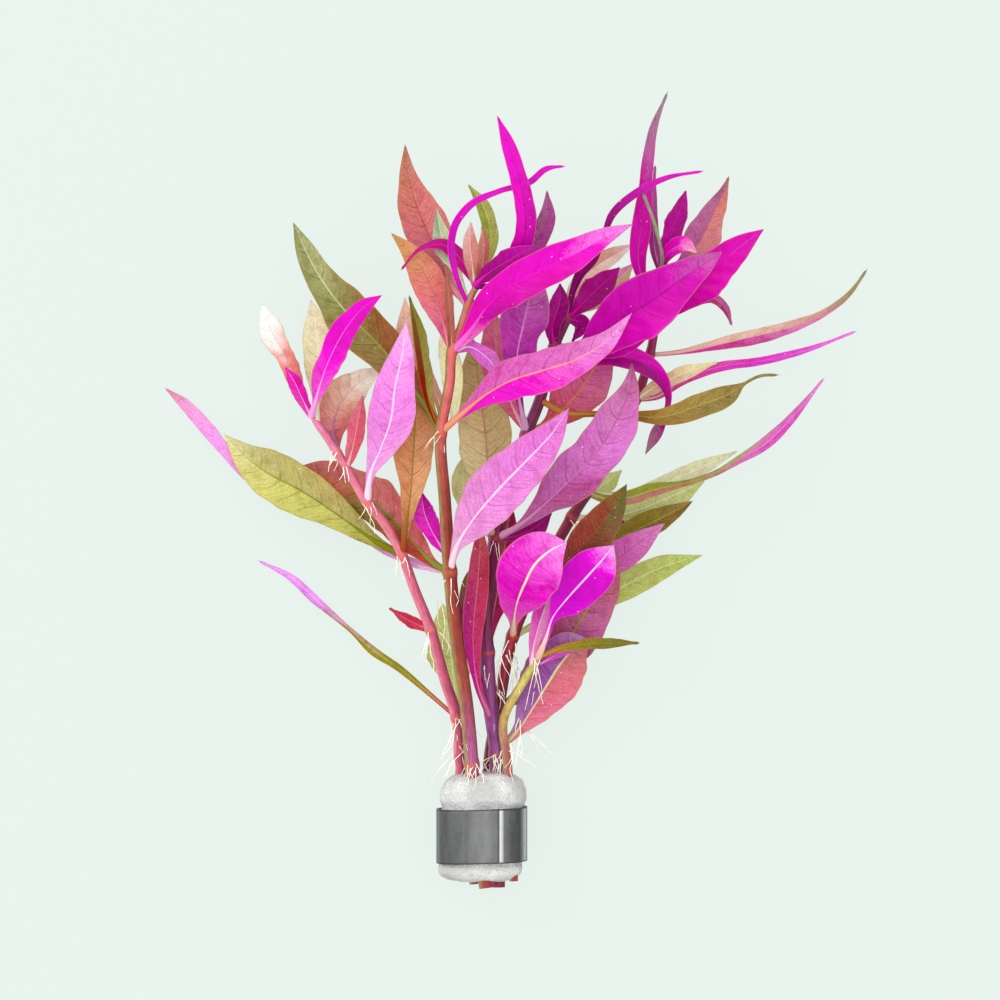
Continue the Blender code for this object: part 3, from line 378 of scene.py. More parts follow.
# %% Leaves of the centre stem
LEAF_PATHS["stem_centre"] = {
    "leaf_centre_1": [
        (497, 755, 11, 2, 0), (507, 742, 12.6, 3, 0), (518, 730, 12.8, 6, 0), (531, 711, 12.6, 18, 0),
        (547, 685, 12.2, 27, 0), (562, 662, 12.4, 27, 0), (575, 648, 12.6, 20, 0),
        (590, 640, 12.6, 0, 0)],
    "leaf_centre_2": [
        (489, 700, 14, 3, 0), (473, 664, 17.3, 4, 0), (467, 640, 18.5, 6, 10), (464, 605, 20, 6, 20),
        (471, 577, 21.3, 6, 10), (484, 559, 22.5, 0, 0)],
    "leaf_centre_3": [
        (492, 722, 12.8, 3, 0), (477, 682, 20.5, 4, 0), (473, 640, 22.5, 9, 0), (477, 590, 24.5, 11, 0),
        (480, 550, 26, 8, 0), (480, 520, 27, 0, 0)],
    "leaf_centre_4": [
        (487, 653, 16, 2, 0), (492, 620, 11, 7, 0), (500, 580, 8, 19, 0), (505, 545, 7, 16, 0),
        (512, 503, 6.5, 0, 0)],
    "leaf_centre_5": [
        (496, 538, 21, 3, 0), (520, 525, 26.5, 4, 0), (545, 504, 30, 12, 0), (572, 478, 33.5, 22, 0),
        (600, 448, 36.5, 25, 0), (619, 415, 38.5, 19, 0), (630, 388, 39.5, 9, 0), (632, 363, 39.5, 0, 0)],
    "leaf_centre_6": [
        (496, 538, 21, 2, 0), (486, 520, 24.5, 3, 0), (486, 495, 25, 8, 0), (487, 468, 25.3, 21, 0),
        (486, 440, 25.4, 27, 0), (482, 408, 25.6, 25, 0), (477, 372, 25.6, 17, 0), (473, 338, 25, 0, 0)],
    "leaf_centre_7": [
        (527, 433, 25, 2, 0), (545, 424, 24.4, 4, 0), (568, 404, 24.2, 21, 0), (587, 380, 23.6, 23, 0),
        (603, 352, 23, 14, 0), (618, 325, 22.5, 0, 0)],
    "leaf_centre_8": [
        (527, 433, 25, 2, 0), (512, 405, 28, 9, 0), (500, 372, 29.5, 16, 0), (495, 340, 30.5, 14, 0),
        (492, 305, 31, 0, 0)],
    "leaf_centre_9": [
        (527, 433, 25, 2, 0), (519, 397, 31.5, 4, 0), (517, 357, 35.5, 15, 0), (524, 322, 38, 22, 0),
        (531, 292, 40, 17, 0), (539, 262, 41.5, 0, 0)],
    "leaf_centre_10": [
        (554, 347, 28, 3, 0), (585, 347, 33.5, 8, 0), (605, 334, 37, 21, 0), (630, 315, 41, 29, 0),
        (660, 295, 44, 26, 0), (690, 273, 46, 16, 0), (707, 262, 47, 9, 0), (722, 252, 48, 0, 0)],
    "leaf_centre_11": [
        (549, 370, 27.2, 3, 0), (585, 361, 30.5, 5, 0), (615, 357, 31.8, 9, 0), (640, 362, 32.4, 11, 0),
        (660, 376, 32.4, 8, 20), (669, 396, 31.6, 4, 40), (666, 413, 30.5, 3, 30), (656, 434, 29, 6, 0),
        (645, 455, 28, 0, 0)],
    "leaf_centre_12": [
        (540, 400, 26, 2, 0), (566, 413, 29.5, 3, 0), (600, 414, 31.6, 3, 0), (632, 416, 33, 4, 0),
        (662, 417, 34, 8, 0), (702, 404, 35, 12, 10), (731, 393, 35.5, 9, 10), (744, 384, 35.5, 1.6, 0),
        (760, 376, 35.5, 1.4, 0), (780, 375, 35.5, 0, 0)],
    "leaf_centre_13": [
        (567, 318, 29, 3, 0), (572, 294, 33, 3, 0), (580, 274, 36.5, 5, 0), (591, 258, 39, 7, 0),
        (602, 240, 41, 3, 0), (612, 215, 42.5, 3.5, 0), (635, 194, 44, 4, 0), (666, 178, 45, 2.5, 0),
        (704, 171, 45.5, 0, 0)],
    "leaf_centre_14": [
        (567, 318, 29, 3, 0), (577, 309, 30.6, 6, 0), (590, 296, 31, 13, 0), (604, 283, 31, 12, 0),
        (620, 267, 31, 0, 0)],
    "leaf_centre_15": [
        (567, 318, 29, 2, 0), (580, 312, 25.8, 2, 0), (593, 301, 24.4, 9, 0), (613, 285, 22.5, 12, 0),
        (634, 263, 20.5, 0, 0)],
    "leaf_centre_16": [
        (567, 318, 29, 2, 0), (574, 288, 25.5, 6, 0), (593, 268, 22, 10, 0), (613, 255, 19, 8, 0),
        (634, 244, 17, 0, 0)],
}
SHOOT_PATHS["stem_centre"] = [
    [(554, 347, 28, 3, 0), (553, 325, 33, 8, 0), (560, 300, 34, 9, 0), (560, 283, 34, 0, 0)],
    [(567, 318, 29, 3, 0), (582, 324, 26.8, 8, 0), (572, 342, 25.4, 0, 0)],
    [(496, 538, 21, 2, 0), (517, 536, 18.5, 5, 0), (536, 527, 17.5, 10, 0), (552, 513, 17, 0, 0)],
    [(496, 538, 21, 2, 0), (478, 528, 19.5, 3, 0), (468, 505, 20, 9, 0), (463, 478, 21, 11, 0),
     (468, 450, 21.5, 0, 0)],
    [(554, 347, 28, 2, 0), (562, 355, 28.8, 2, 0), (575, 357, 30.8, 2, 0), (602, 353, 34.2, 6, 0),
     (628, 345, 35, 8, 0), (650, 336, 34.6, 0, 0)],
]
count_paths("stem_centre")

# %% Leaves of the right stem
LEAF_PATHS["stem_right"] = {
    "leaf_right_17": [
        (498, 708, 8.8, 2, 0), (517, 697, 7.2, 7, 0), (537, 676, 6.8, 15, 0), (556, 655, 7.4, 21, 0),
        (572, 634, 9.5, 26, 0), (590, 604, 14, 25, 0), (604, 574, 17, 18, 0), (614, 548, 19, 0, 0)],
    "leaf_right_1": [
        (513, 636, 11.5, 3, 0), (514, 621, 18.5, 5, 0), (517, 603, 25.5, 17, 0), (525, 583, 31.5, 29, 0),
        (536, 563, 35.5, 31, 0), (551, 550, 37, 22, 0), (567, 542, 37.5, 0, 0)],
    "leaf_right_2": [
        (513, 636, 11.5, 2, 0), (545, 620, 5.5, 5, 0), (598, 600, 2.4, 10, 0), (630, 583, 1.2, 15, 0),
        (660, 568, 0.8, 12, 0), (703, 555, 0.5, 0, 0)],
    "leaf_right_3": [
        (540, 573, 14, 3, 0), (553, 568, 18.6, 6, 0), (572, 556, 21.5, 12, 0), (592, 536, 24, 19, 0),
        (610, 513, 26, 15, 0), (627, 484, 27, 0, 0)],
    "leaf_right_4": [
        (540, 573, 14, 2, 0), (580, 578, 12.6, 6, 0), (612, 562, 12.6, 15, 0), (640, 542, 13.4, 12, 0),
        (665, 523, 14, 0, 0)],
    "leaf_right_5": [
        (556, 545, 15, 2, 0), (590, 545, 11, 4, 0), (622, 536, 9, 11, 0), (655, 521, 8.2, 12, 0),
        (677, 510, 8, 7, 0), (693, 501, 8, 0, 0)],
    "leaf_right_6": [
        (572, 517, 16, 2, 0), (604, 518, 8, 6, 0), (638, 510, 4.6, 17, 0), (674, 495, 2.8, 15, 0),
        (705, 481, 2, 0, 0)],
    "leaf_right_7": [
        (587, 493, 17, 3, 0), (612, 500, 19.6, 5, 0), (632, 497, 20.4, 7, 0), (652, 490, 20, 7, 10),
        (675, 485, 19, 4, 30), (692, 481, 18.2, 3, 30), (715, 473, 17, 3, 20), (737, 461, 15.6, 4, 0),
        (765, 444, 13.8, 6, 0), (786, 424, 12.4, 5, 10), (805, 402, 11.4, 3, 20),
        (825, 377, 10.6, 0, 20)],
    "leaf_right_8": [
        (587, 493, 17, 2, 0), (628, 494, 14.4, 4, 0), (662, 484, 13.6, 7, 0), (700, 468, 12.8, 8, 0),
        (738, 451, 12, 0, 0)],
    "leaf_right_10": [
        (636, 400, 21, 2, 0), (656, 397, 20, 3, 0), (682, 380, 18, 5, 0), (720, 367, 14.5, 5, 0),
        (760, 361, 11, 4, 0), (803, 351, 7, 3, 0), (857, 331, 3.5, 0, 0)],
    "leaf_right_12": [
        (650, 355, 24, 2, 0), (680, 352, 22, 2.5, 0), (712, 346, 19, 5, 0), (747, 338, 15, 7.5, 0),
        (788, 328, 10.5, 6.5, 10), (820, 315, 6.5, 3.6, 10), (849, 294, 3, 2.6, 0), (868, 268, 0.5, 0, 0)],
    "leaf_right_13": [
        (656, 320, 26, 2, 0), (679, 307, 29.5, 7, 0), (702, 282, 32, 19, 0), (724, 261, 34, 17, 0),
        (746, 242, 35.5, 9, 0), (764, 229, 36.5, 0, 0)],
    "leaf_right_14": [
        (656, 320, 26, 2, 0), (643, 283, 31, 4, 0), (638, 258, 33, 8, 0), (641, 228, 34.5, 9, 0),
        (645, 195, 36, 7, 0), (648, 160, 37, 6, 0), (653, 130, 37.5, 4, 0), (668, 91, 37.5, 0, 0)],
    "leaf_right_15": [
        (660, 272, 28, 2, 0), (682, 262, 24, 5, 0), (701, 238, 21.5, 17, 0), (713, 214, 20, 12, 0),
        (723, 193, 19, 5, 0), (729, 176, 18.5, 0, 0)],
}
SHOOT_PATHS["stem_right"] = [
    [(660, 270, 27.8, 3, 0), (655, 250, 27, 5, 0), (653, 220, 26.6, 5, 0), (655, 165, 26.4, 0, 0)],
    [(660, 270, 27.8, 3, 0), (671, 250, 34.5, 7, 0), (684, 244, 36, 8, 0), (697, 253, 36.5, 0, 0)],
    [(656, 320, 26, 3, 0), (690, 305, 24, 4, 0), (713, 298, 23.4, 5, 0), (725, 308, 23, 4, 0),
     (732, 326, 22.6, 0, 0)],
    [(587, 493, 17, 2, 0), (596, 490, 11.5, 8, 0), (608, 482, 10, 9, 0), (622, 470, 9.2, 0, 0)],
    [(636, 400, 21, 2, 0), (655, 387, 25, 6, 0), (685, 373, 26, 7, 0), (718, 362, 26, 0, 0)],
    [(660, 270, 28, 2, 0), (667, 250, 30.5, 7, 0), (675, 224, 31.5, 10, 0), (682, 204, 32, 6, 0),
     (686, 190, 32, 0, 0)],
    [(660, 270, 27.8, 2, 0), (662, 256, 36, 1.5, 0), (655, 225, 40, 1.5, 0), (643, 193, 41, 0, 0)],
]
count_paths("stem_right")

# %% Leaves of the short stem
LEAF_PATHS["stem_short"] = {
    "leaf_short_1": [
        (538, 658, 16, 2, 0), (546, 638, 20.5, 3, 0), (553, 617, 23.5, 5, 0), (566, 600, 26, 17, 0),
        (584, 580, 28.5, 24, 0), (602, 560, 30.5, 18, 0), (614, 545, 31.5, 0, 0)],
    "leaf_short_3": [
        (538, 658, 16, 2, 0), (556, 650, 18.4, 3, 0), (580, 645, 20.5, 5, 0), (610, 643, 23.5, 5, 0),
        (640, 643, 24, 0, 0)],
}
SHOOT_PATHS["stem_short"] = [
    [(531, 670, 15.8, 2, 0), (533, 650, 17, 4, 0), (538, 628, 18.6, 8, 0), (544, 610, 19.6, 9, 0),
     (552, 588, 20.4, 0, 0)],
]
count_paths("stem_short")

# %% Folded margins: strips that turn over and show the other side of a leaf
FOLD_PATHS = {
    "leaf_left_3": [(266, 496, 9.2, 1, 0), (244, 474, 7.2, 4, 0), (220, 445, 4.8, 6, 0),
                    (200, 420, 2.8, 7, 10), (182, 402, 1.5, 5, 10), (165, 388, 0.4, 0, 0)],
    "leaf_front_1": [(446, 573, 25, 1, 0), (420, 565, 19, 4, 0), (390, 553, 15.5, 4, 0),
                     (352, 531, 12, 0, 0)],
    "leaf_right_4": [(606, 514, 8, 1, 0), (620, 522, 7.6, 3, 0), (630, 529, 7.2, 3, 0), (640, 535, 7, 0, 0)],
    "leaf_centre_1": [(540, 664, 15, 1, 0), (560, 653, 15.6, 4, 0), (580, 646, 15, 4, 0),
                      (600, 642, 14, 0, 0)],
}
print(len(FOLD_PATHS), "folded margins")

# %% [markdown]
# ## One model leaf
#
# A real leaf is a thin blade with a stout midrib and about nine pairs of side veins, which leave the
# midrib at a slant and bend towards the tip. The tissue swells a little between them. It could be carved
# out of a plane by hand, but a grid whose rows already lean like the veins keeps every vein sharp with
# few faces. One grid is shaped once, and each leaf is a copy of it, ruffled and bent along its own path.

# %% The model blade: it lies along X from 0 to 1 and is 2 wide
VEIN_PAIRS = 9
ROWS_PER_VEIN = 8
BLADE_COLUMNS = 16
VEIN_LEAN = 0.13  # how far up the leaf a side vein ends, as a share of its length
VEIN_CURVE = 1.35
VEIN_DEPTH = 0.030
SWELL = 0.035
CUP = 0.208  # how far the margins lift, as a share of half the width

bpy.ops.object.select_all(action="DESELECT")
bpy.ops.mesh.primitive_grid_add(x_subdivisions=VEIN_PAIRS * ROWS_PER_VEIN, y_subdivisions=BLADE_COLUMNS,
                                size=1, location=(0.5, 0, 0))
blade_model = bpy.context.object
blade_model.name = "blade_model"
bpy.ops.object.mode_set(mode="EDIT")
bpy.ops.transform.resize(value=(1, 2, 1))
bpy.ops.object.mode_set(mode="OBJECT")
bpy.ops.object.transform_apply(location=True, rotation=True, scale=True)

points = points_of(blade_model)
along, across = points[:, 0].copy(), points[:, 1].copy()
off_rib = np.abs(across)
vein_wave = np.cos(2 * math.pi * along * VEIN_PAIRS)  # 1 on a side vein, -1 half way between two
taper = np.sin(math.pi * along) ** 0.7
points[:, 0] = along + VEIN_LEAN * off_rib**VEIN_CURVE * np.sin(math.pi * along) * (1 - along * 0.35)
points[:, 2] = (CUP * off_rib**1.25
                - VEIN_DEPTH * np.exp(-((vein_wave - 1) / 0.5) ** 2) * taper * (1 - off_rib) ** 0.5
                + SWELL * np.sin(math.pi * off_rib) * (1 - vein_wave) / 2 * taper)
move_points(blade_model, points)
print("model blade:", len(blade_model.data.polygons), "faces")

# %% The model midrib: a thin round rod along X from 0 to 1
RIB_SIDES = 8
RIB_CUTS = 47

bpy.ops.object.select_all(action="DESELECT")
bpy.ops.mesh.primitive_cylinder_add(vertices=RIB_SIDES, radius=1, depth=1, location=(0.5, 0, 0),
                                    rotation=(0, math.pi / 2, 0))
rib_model = bpy.context.object
rib_model.name = "rib_model"
bpy.ops.object.transform_apply(location=True, rotation=True, scale=True)
cut_across(rib_model, 0, RIB_CUTS)
for loop in rib_model.data.loops:
    at = rib_model.data.vertices[loop.vertex_index].co.x
    rib_model.data.uv_layers.active.data[loop.index].uv = (at, 0.5)
print("model midrib:", len(rib_model.data.polygons), "faces")

# %% Ruffling and bending a leaf
BLADE_THICK = 0.22 * MM
PETIOLE_RADIUS = 0.72 * MM
PETIOLE_SHARE = 0.19  # the stalk has thinned away at this share of the length
FULL_STALK = 14  # half the width in steps of a leaf that has the thickest stalk
RIB_RADIUS = 0.24 * MM
RIB_TIP_RADIUS = 0.05 * MM
PATH_SAMPLES = 90
WELD = 0.004 * MM


def path_rows(knots):
    """The rows of a leaf's path: x, y, z, half width in metres, and tilt in radians."""
    real = [(*place(x, y, z), half * STEP, math.radians(tilt)) for x, y, z, half, tilt in knots]
    return smooth(real, PATH_SAMPLES)


WAVE = 0.13  # height of the waves, as a share of half the width
FINE_WAVE = 0.30  # height of the small waves that ride on them, as a share of the large ones
WAVE_SIDEWAYS = 0.50  # how far the margin also moves sideways, as a share of the wave
# leaves with more crumpled or calmer margins than the others
WAVY = {"leaf_left_10": 0.30, "leaf_centre_9": 0.22, "leaf_centre_5": 0.20, "leaf_front_1": 0.20,
        "leaf_left_9": 0.26, "leaf_left_7": 0.20, "leaf_right_1": 0.06, "leaf_left_5": 0.07}


def ruffle(blade, chance, wave):
    """Waves the margins and bows the blade a little, so that no two leaves are alike."""
    points = points_of(blade)
    along, across = points[:, 0], points[:, 1]
    inside = np.clip(np.sin(math.pi * np.clip(along, 0, 1)), 0, 1)
    for side in (-1, 1):
        here = np.sign(across) == side
        turns, fine = chance.uniform(1.6, 3.4), chance.uniform(6, 10)
        start, fine_start = chance.uniform(0, 2 * math.pi, 2)
        size = wave * chance.uniform(0.6, 1.3)
        swing = np.sin(2 * math.pi * turns * along + start)
        swing += FINE_WAVE * np.sin(2 * math.pi * fine * along + fine_start)
        reach = np.abs(across) ** 2
        points[:, 2] += np.where(here, size * swing * reach * inside, 0)
        points[:, 1] += np.where(here, side * WAVE_SIDEWAYS * size * swing * reach * inside, 0)
    move_points(blade, points)


def make_leaf(name, knots, face, back, chance):
    """One leaf: a ruffled blade with two sides and a midrib that runs on as its stalk."""
    rows = path_rows(knots)
    half = np.maximum(rows[:, 3], 0)
    share = np.linspace(0, 1, PATH_SAMPLES)
    blade = own_copy(blade_model, name)
    ruffle(blade, chance, WAVY.get(name, WAVE))
    bend_along(blade, rows, np.where(share > 0.98, half, np.maximum(half, 0.35 * MM)))
    select_only(blade)
    bpy.ops.object.mode_set(mode="EDIT")
    bpy.ops.mesh.select_all(action="SELECT")
    bpy.ops.mesh.remove_doubles(threshold=WELD)
    bpy.ops.object.mode_set(mode="OBJECT")
    blade.data.materials.append(face)
    blade.data.materials.append(back)
    apply_step(blade, "SOLIDIFY", thickness=BLADE_THICK, offset=0, material_offset=1)
    small = min(1.0, half.max() / (FULL_STALK * STEP))
    stalk = PETIOLE_RADIUS * small * np.exp(-(share / PETIOLE_SHARE) ** 2)
    radii = stalk + RIB_TIP_RADIUS + (RIB_RADIUS - RIB_TIP_RADIUS) * small * (1 - share)
    rib = own_copy(rib_model, name + "_rib")
    bend_along(rib, rows, radii)
    rib.data.materials.append(face)
    bpy.ops.object.select_all(action="DESELECT")
    rib.select_set(True)
    blade.select_set(True)
    bpy.context.view_layer.objects.active = blade
    bpy.ops.object.join()
    bpy.ops.object.shade_smooth_by_angle(angle=math.radians(50))
    return blade


# %% [markdown]
# ## The finish of a leaf
#
# The leaves are living tissue: satin, thin enough to glow, and coloured by pigments that change from the
# base to the tip. Young leaves are magenta and pink, old ones olive and lime. The finish reads the
# blade's own map, where one axis runs from base to tip and the other from margin to margin, so a pale
# midrib, side veins and a thin dark margin stay on their lines however the leaf is bent. Fine noise in
# real millimetres adds the mottling and the speckled cells.

# %% Leaf finish
MIDRIB_HALF = 0.027  # half width of the pale midrib, as a share of the blade's width
VEIN_HALF = 0.050  # half width of a side vein, as a share of the space between two
MOTTLE_MM = 3.5
CELL_MM = 0.45
MOTTLE = 0.55  # depth of the clouds, cells, net of small veins and margin: 1 is as dark as they go
CELL_DEPTH = 0.42
VEIN_TINT = 0.42  # how far a side vein is darkened
VEIN_STRAY = 0.035  # how far the side veins wander, as a share of the leaf's length
NET_LINES = 4
NET_HALF = 0.12
NET_DEPTH = 0.45
MARGIN = "B08838"  # margins are tan, as seen where the light shines through
MARGIN_DEPTH = 0.35
STREAK_DEPTH = 0.38  # fine streaks that run beside the side veins
GLINT_MM = 2.6  # one tiny white glint to about this much of the leaf
GLINT = "FFF6FC"
SHADE = "D8B4C4"  # tint of the darker tissue
RICHNESS = 1.10  # light that shines through the tissue makes its colours a little fuller
LIFT = 0.84  # dark tissue looks paler than its pigment, because light also comes through it
PALE_VALUE, FULL_VALUE = 0.91, 0.78  # full magenta tissue holds back more light than pale tissue
LEAF_SHINE = 0.12  # the skin is dull, so little white lies over the colour
LEAF_PAINTED_GLOW = 0.08  # a faint painted glow in the leaf's own colour, standing in for light that wanders through the bunch and reaches the shaded leaves
LEAF_ROUGHNESS = 0.42
LEAF_GLOW = 0.34


def ramp(tree, place_along, colours, places=None):
    """Colours one after another, evenly spaced from 0 to 1 or at the places given."""
    made = add_node(tree, "ValToRGB", {"Fac": place_along})
    band = made.color_ramp
    stops = colours.split()
    if len(stops) == 1:
        stops = stops * 2
    while len(band.elements) < len(stops):
        band.elements.new(0.5)
    for i, stop in enumerate(stops):
        band.elements[i].position = places[i] if places else i / (len(stops) - 1)
        band.elements[i].color = linear(stop)
    return made.outputs["Color"]


def mix(tree, share, low, high, blend="MIX"):
    """Mixes two colours. Share is a socket or a number."""
    made = add_node(tree, "Mix", data_type="RGBA", blend_type=blend)
    factor, one, other = made.inputs["Factor"], made.inputs[6], made.inputs[7]
    for socket, value in ((factor, share), (one, low), (other, high)):
        if hasattr(value, "is_output"):
            tree.links.new(value, socket)
        else:
            socket.default_value = value
    return made.outputs[2]


def between(tree, value, low, high):
    """0 below low, 1 above high and smooth in between. Low may be the larger one."""
    made = add_node(tree, "MapRange", {"Value": value},
                    {"From Min": low, "From Max": high}, interpolation_type="SMOOTHSTEP")
    return made.outputs["Result"]


def sum_of(tree, operation, one, other=0.0, third=0.0):
    """The result of one maths node. Each value is a socket or a number."""
    made = add_node(tree, "Math", operation=operation)
    for socket, value in zip(made.inputs, (one, other, third)):
        if hasattr(value, "is_output"):
            tree.links.new(value, socket)
        else:
            socket.default_value = value
    return made.outputs["Value"]


def living_leaf(name, left, right, vein):
    """Thin living leaf tissue. Left and right are the colours of the two halves from base to tip."""
    finish, tree = new_finish(name)
    spot = add_node(tree, "TexCoord")
    chart = add_node(tree, "UVMap", uv_map="UVMap")
    axes = add_node(tree, "SeparateXYZ", {"Vector": chart.outputs["UV"]})
    along, across = axes.outputs["X"], axes.outputs["Y"]
    clouds = add_node(tree, "TexNoise", {"Vector": spot.outputs["Object"]},
                      {"Scale": 1 / (MOTTLE_MM * MM), "Detail": 6.0, "Roughness": 0.66})
    cells = add_node(tree, "TexNoise", {"Vector": spot.outputs["Object"]},
                     {"Scale": 1 / (CELL_MM * MM), "Detail": 2.0})
    wander = sum_of(tree, "MULTIPLY_ADD", clouds.outputs["Fac"], 0.20, sum_of(tree, "ADD", along, -0.10))
    side = between(tree, across, 0.47, 0.53)
    body = mix(tree, side, ramp(tree, wander, right), ramp(tree, wander, left))
    shade = mix(tree, 1.0, body, linear(SHADE), "MULTIPLY")
    deep = mix(tree, 0.7, body, shade, "MULTIPLY")
    combed = add_node(tree, "Mapping", {"Vector": chart.outputs["UV"]}, {"Scale": (70.0, 5.0, 1.0)})
    streaks = add_node(tree, "TexNoise", {"Vector": combed.outputs["Vector"]}, {"Scale": 1.0, "Detail": 4.0})
    glints = add_node(tree, "TexVoronoi", {"Vector": spot.outputs["Object"]}, {"Scale": 1 / (GLINT_MM * MM)})
    for source, high, low, depth in ((clouds, 0.52, 0.32, MOTTLE), (cells, 0.55, 0.38, CELL_DEPTH),
                                     (streaks, 0.56, 0.36, STREAK_DEPTH)):
        share = sum_of(tree, "MULTIPLY", between(tree, source.outputs["Fac"], high, low), depth)
        body = mix(tree, share, body, deep)
    off_rib = sum_of(tree, "ABSOLUTE", sum_of(tree, "ADD", across, -0.5))
    lines = []
    for pairs, half in ((VEIN_PAIRS, VEIN_HALF), (VEIN_PAIRS * NET_LINES, NET_HALF)):
        strayed = sum_of(tree, "MULTIPLY_ADD", clouds.outputs["Fac"], VEIN_STRAY, along)
        count = sum_of(tree, "MULTIPLY_ADD", strayed, pairs, 0.5)
        off_line = sum_of(tree, "ABSOLUTE", sum_of(tree, "ADD", sum_of(tree, "FRACT", count), -0.5))
        lines.append(between(tree, off_line, half, half * 0.2))
    fade = between(tree, off_rib, 0.49, 0.20)
    side_vein = sum_of(tree, "MULTIPLY", lines[0], fade)
    broken = between(tree, cells.outputs["Fac"], 0.4, 0.6)
    net = sum_of(tree, "MULTIPLY", sum_of(tree, "MULTIPLY", lines[1], broken), NET_DEPTH)
    body = mix(tree, net, body, deep)
    vein_colour = ramp(tree, along, vein)
    deeper = mix(tree, 0.8, deep, body, "MULTIPLY")
    body = mix(tree, sum_of(tree, "MULTIPLY", side_vein, VEIN_TINT), body, deeper)
    body = mix(tree, sum_of(tree, "MULTIPLY", between(tree, off_rib, 0.462, 0.49), MARGIN_DEPTH), body,
               linear(MARGIN))
    midrib = between(tree, off_rib, MIDRIB_HALF, MIDRIB_HALF * 0.4)
    body = mix(tree, midrib, body, vein_colour)
    body = mix(tree, between(tree, glints.outputs["Distance"], 0.06, 0.03), body, linear(GLINT))
    body = add_node(tree, "Gamma", {"Color": body}, {"Gamma": LIFT}).outputs["Color"]
    parts = add_node(tree, "SeparateColor", {"Color": body}, mode="HSV")
    value = add_node(tree, "MapRange", {"Value": parts.outputs[1]},
                     {"From Min": 0.90, "From Max": 1.0, "To Min": PALE_VALUE, "To Max": FULL_VALUE})
    body = add_node(tree, "HueSaturation", {"Color": body, "Value": value.outputs["Result"]},
                    {"Saturation": RICHNESS}).outputs["Color"]
    relief = sum_of(tree, "MULTIPLY_ADD", side_vein, -0.8,
                    sum_of(tree, "MULTIPLY", cells.outputs["Fac"], 0.5))
    bump = add_node(tree, "Bump", {"Height": relief}, {"Strength": 0.35, "Distance": 0.15 * MM})
    # the skin glows faintly in its own colour: painted light for the shaded leaves
    skin = add_node(tree, "BsdfPrincipled",
                    {"Base Color": body, "Emission Color": body, "Normal": bump.outputs["Normal"]},
                    {"Roughness": LEAF_ROUGHNESS, "Specular IOR Level": LEAF_SHINE,
                     "Emission Strength": LEAF_PAINTED_GLOW})
    glow = add_node(tree, "BsdfTranslucent", {"Color": body, "Normal": bump.outputs["Normal"]})
    both = add_node(tree, "MixShader", values={"Fac": LEAF_GLOW})
    tree.links.new(skin.outputs["BSDF"], both.inputs[1])
    tree.links.new(glow.outputs["BSDF"], both.inputs[2])
    add_node(tree, "OutputMaterial", {"Surface": both.outputs["Shader"]})
    return finish


# %% [markdown]
# ## The colours of each leaf
#
# Every leaf has its own look: the colours of its left and right half from base to tip, of its veins and
# of its other side. One colour word stands for the whole half.

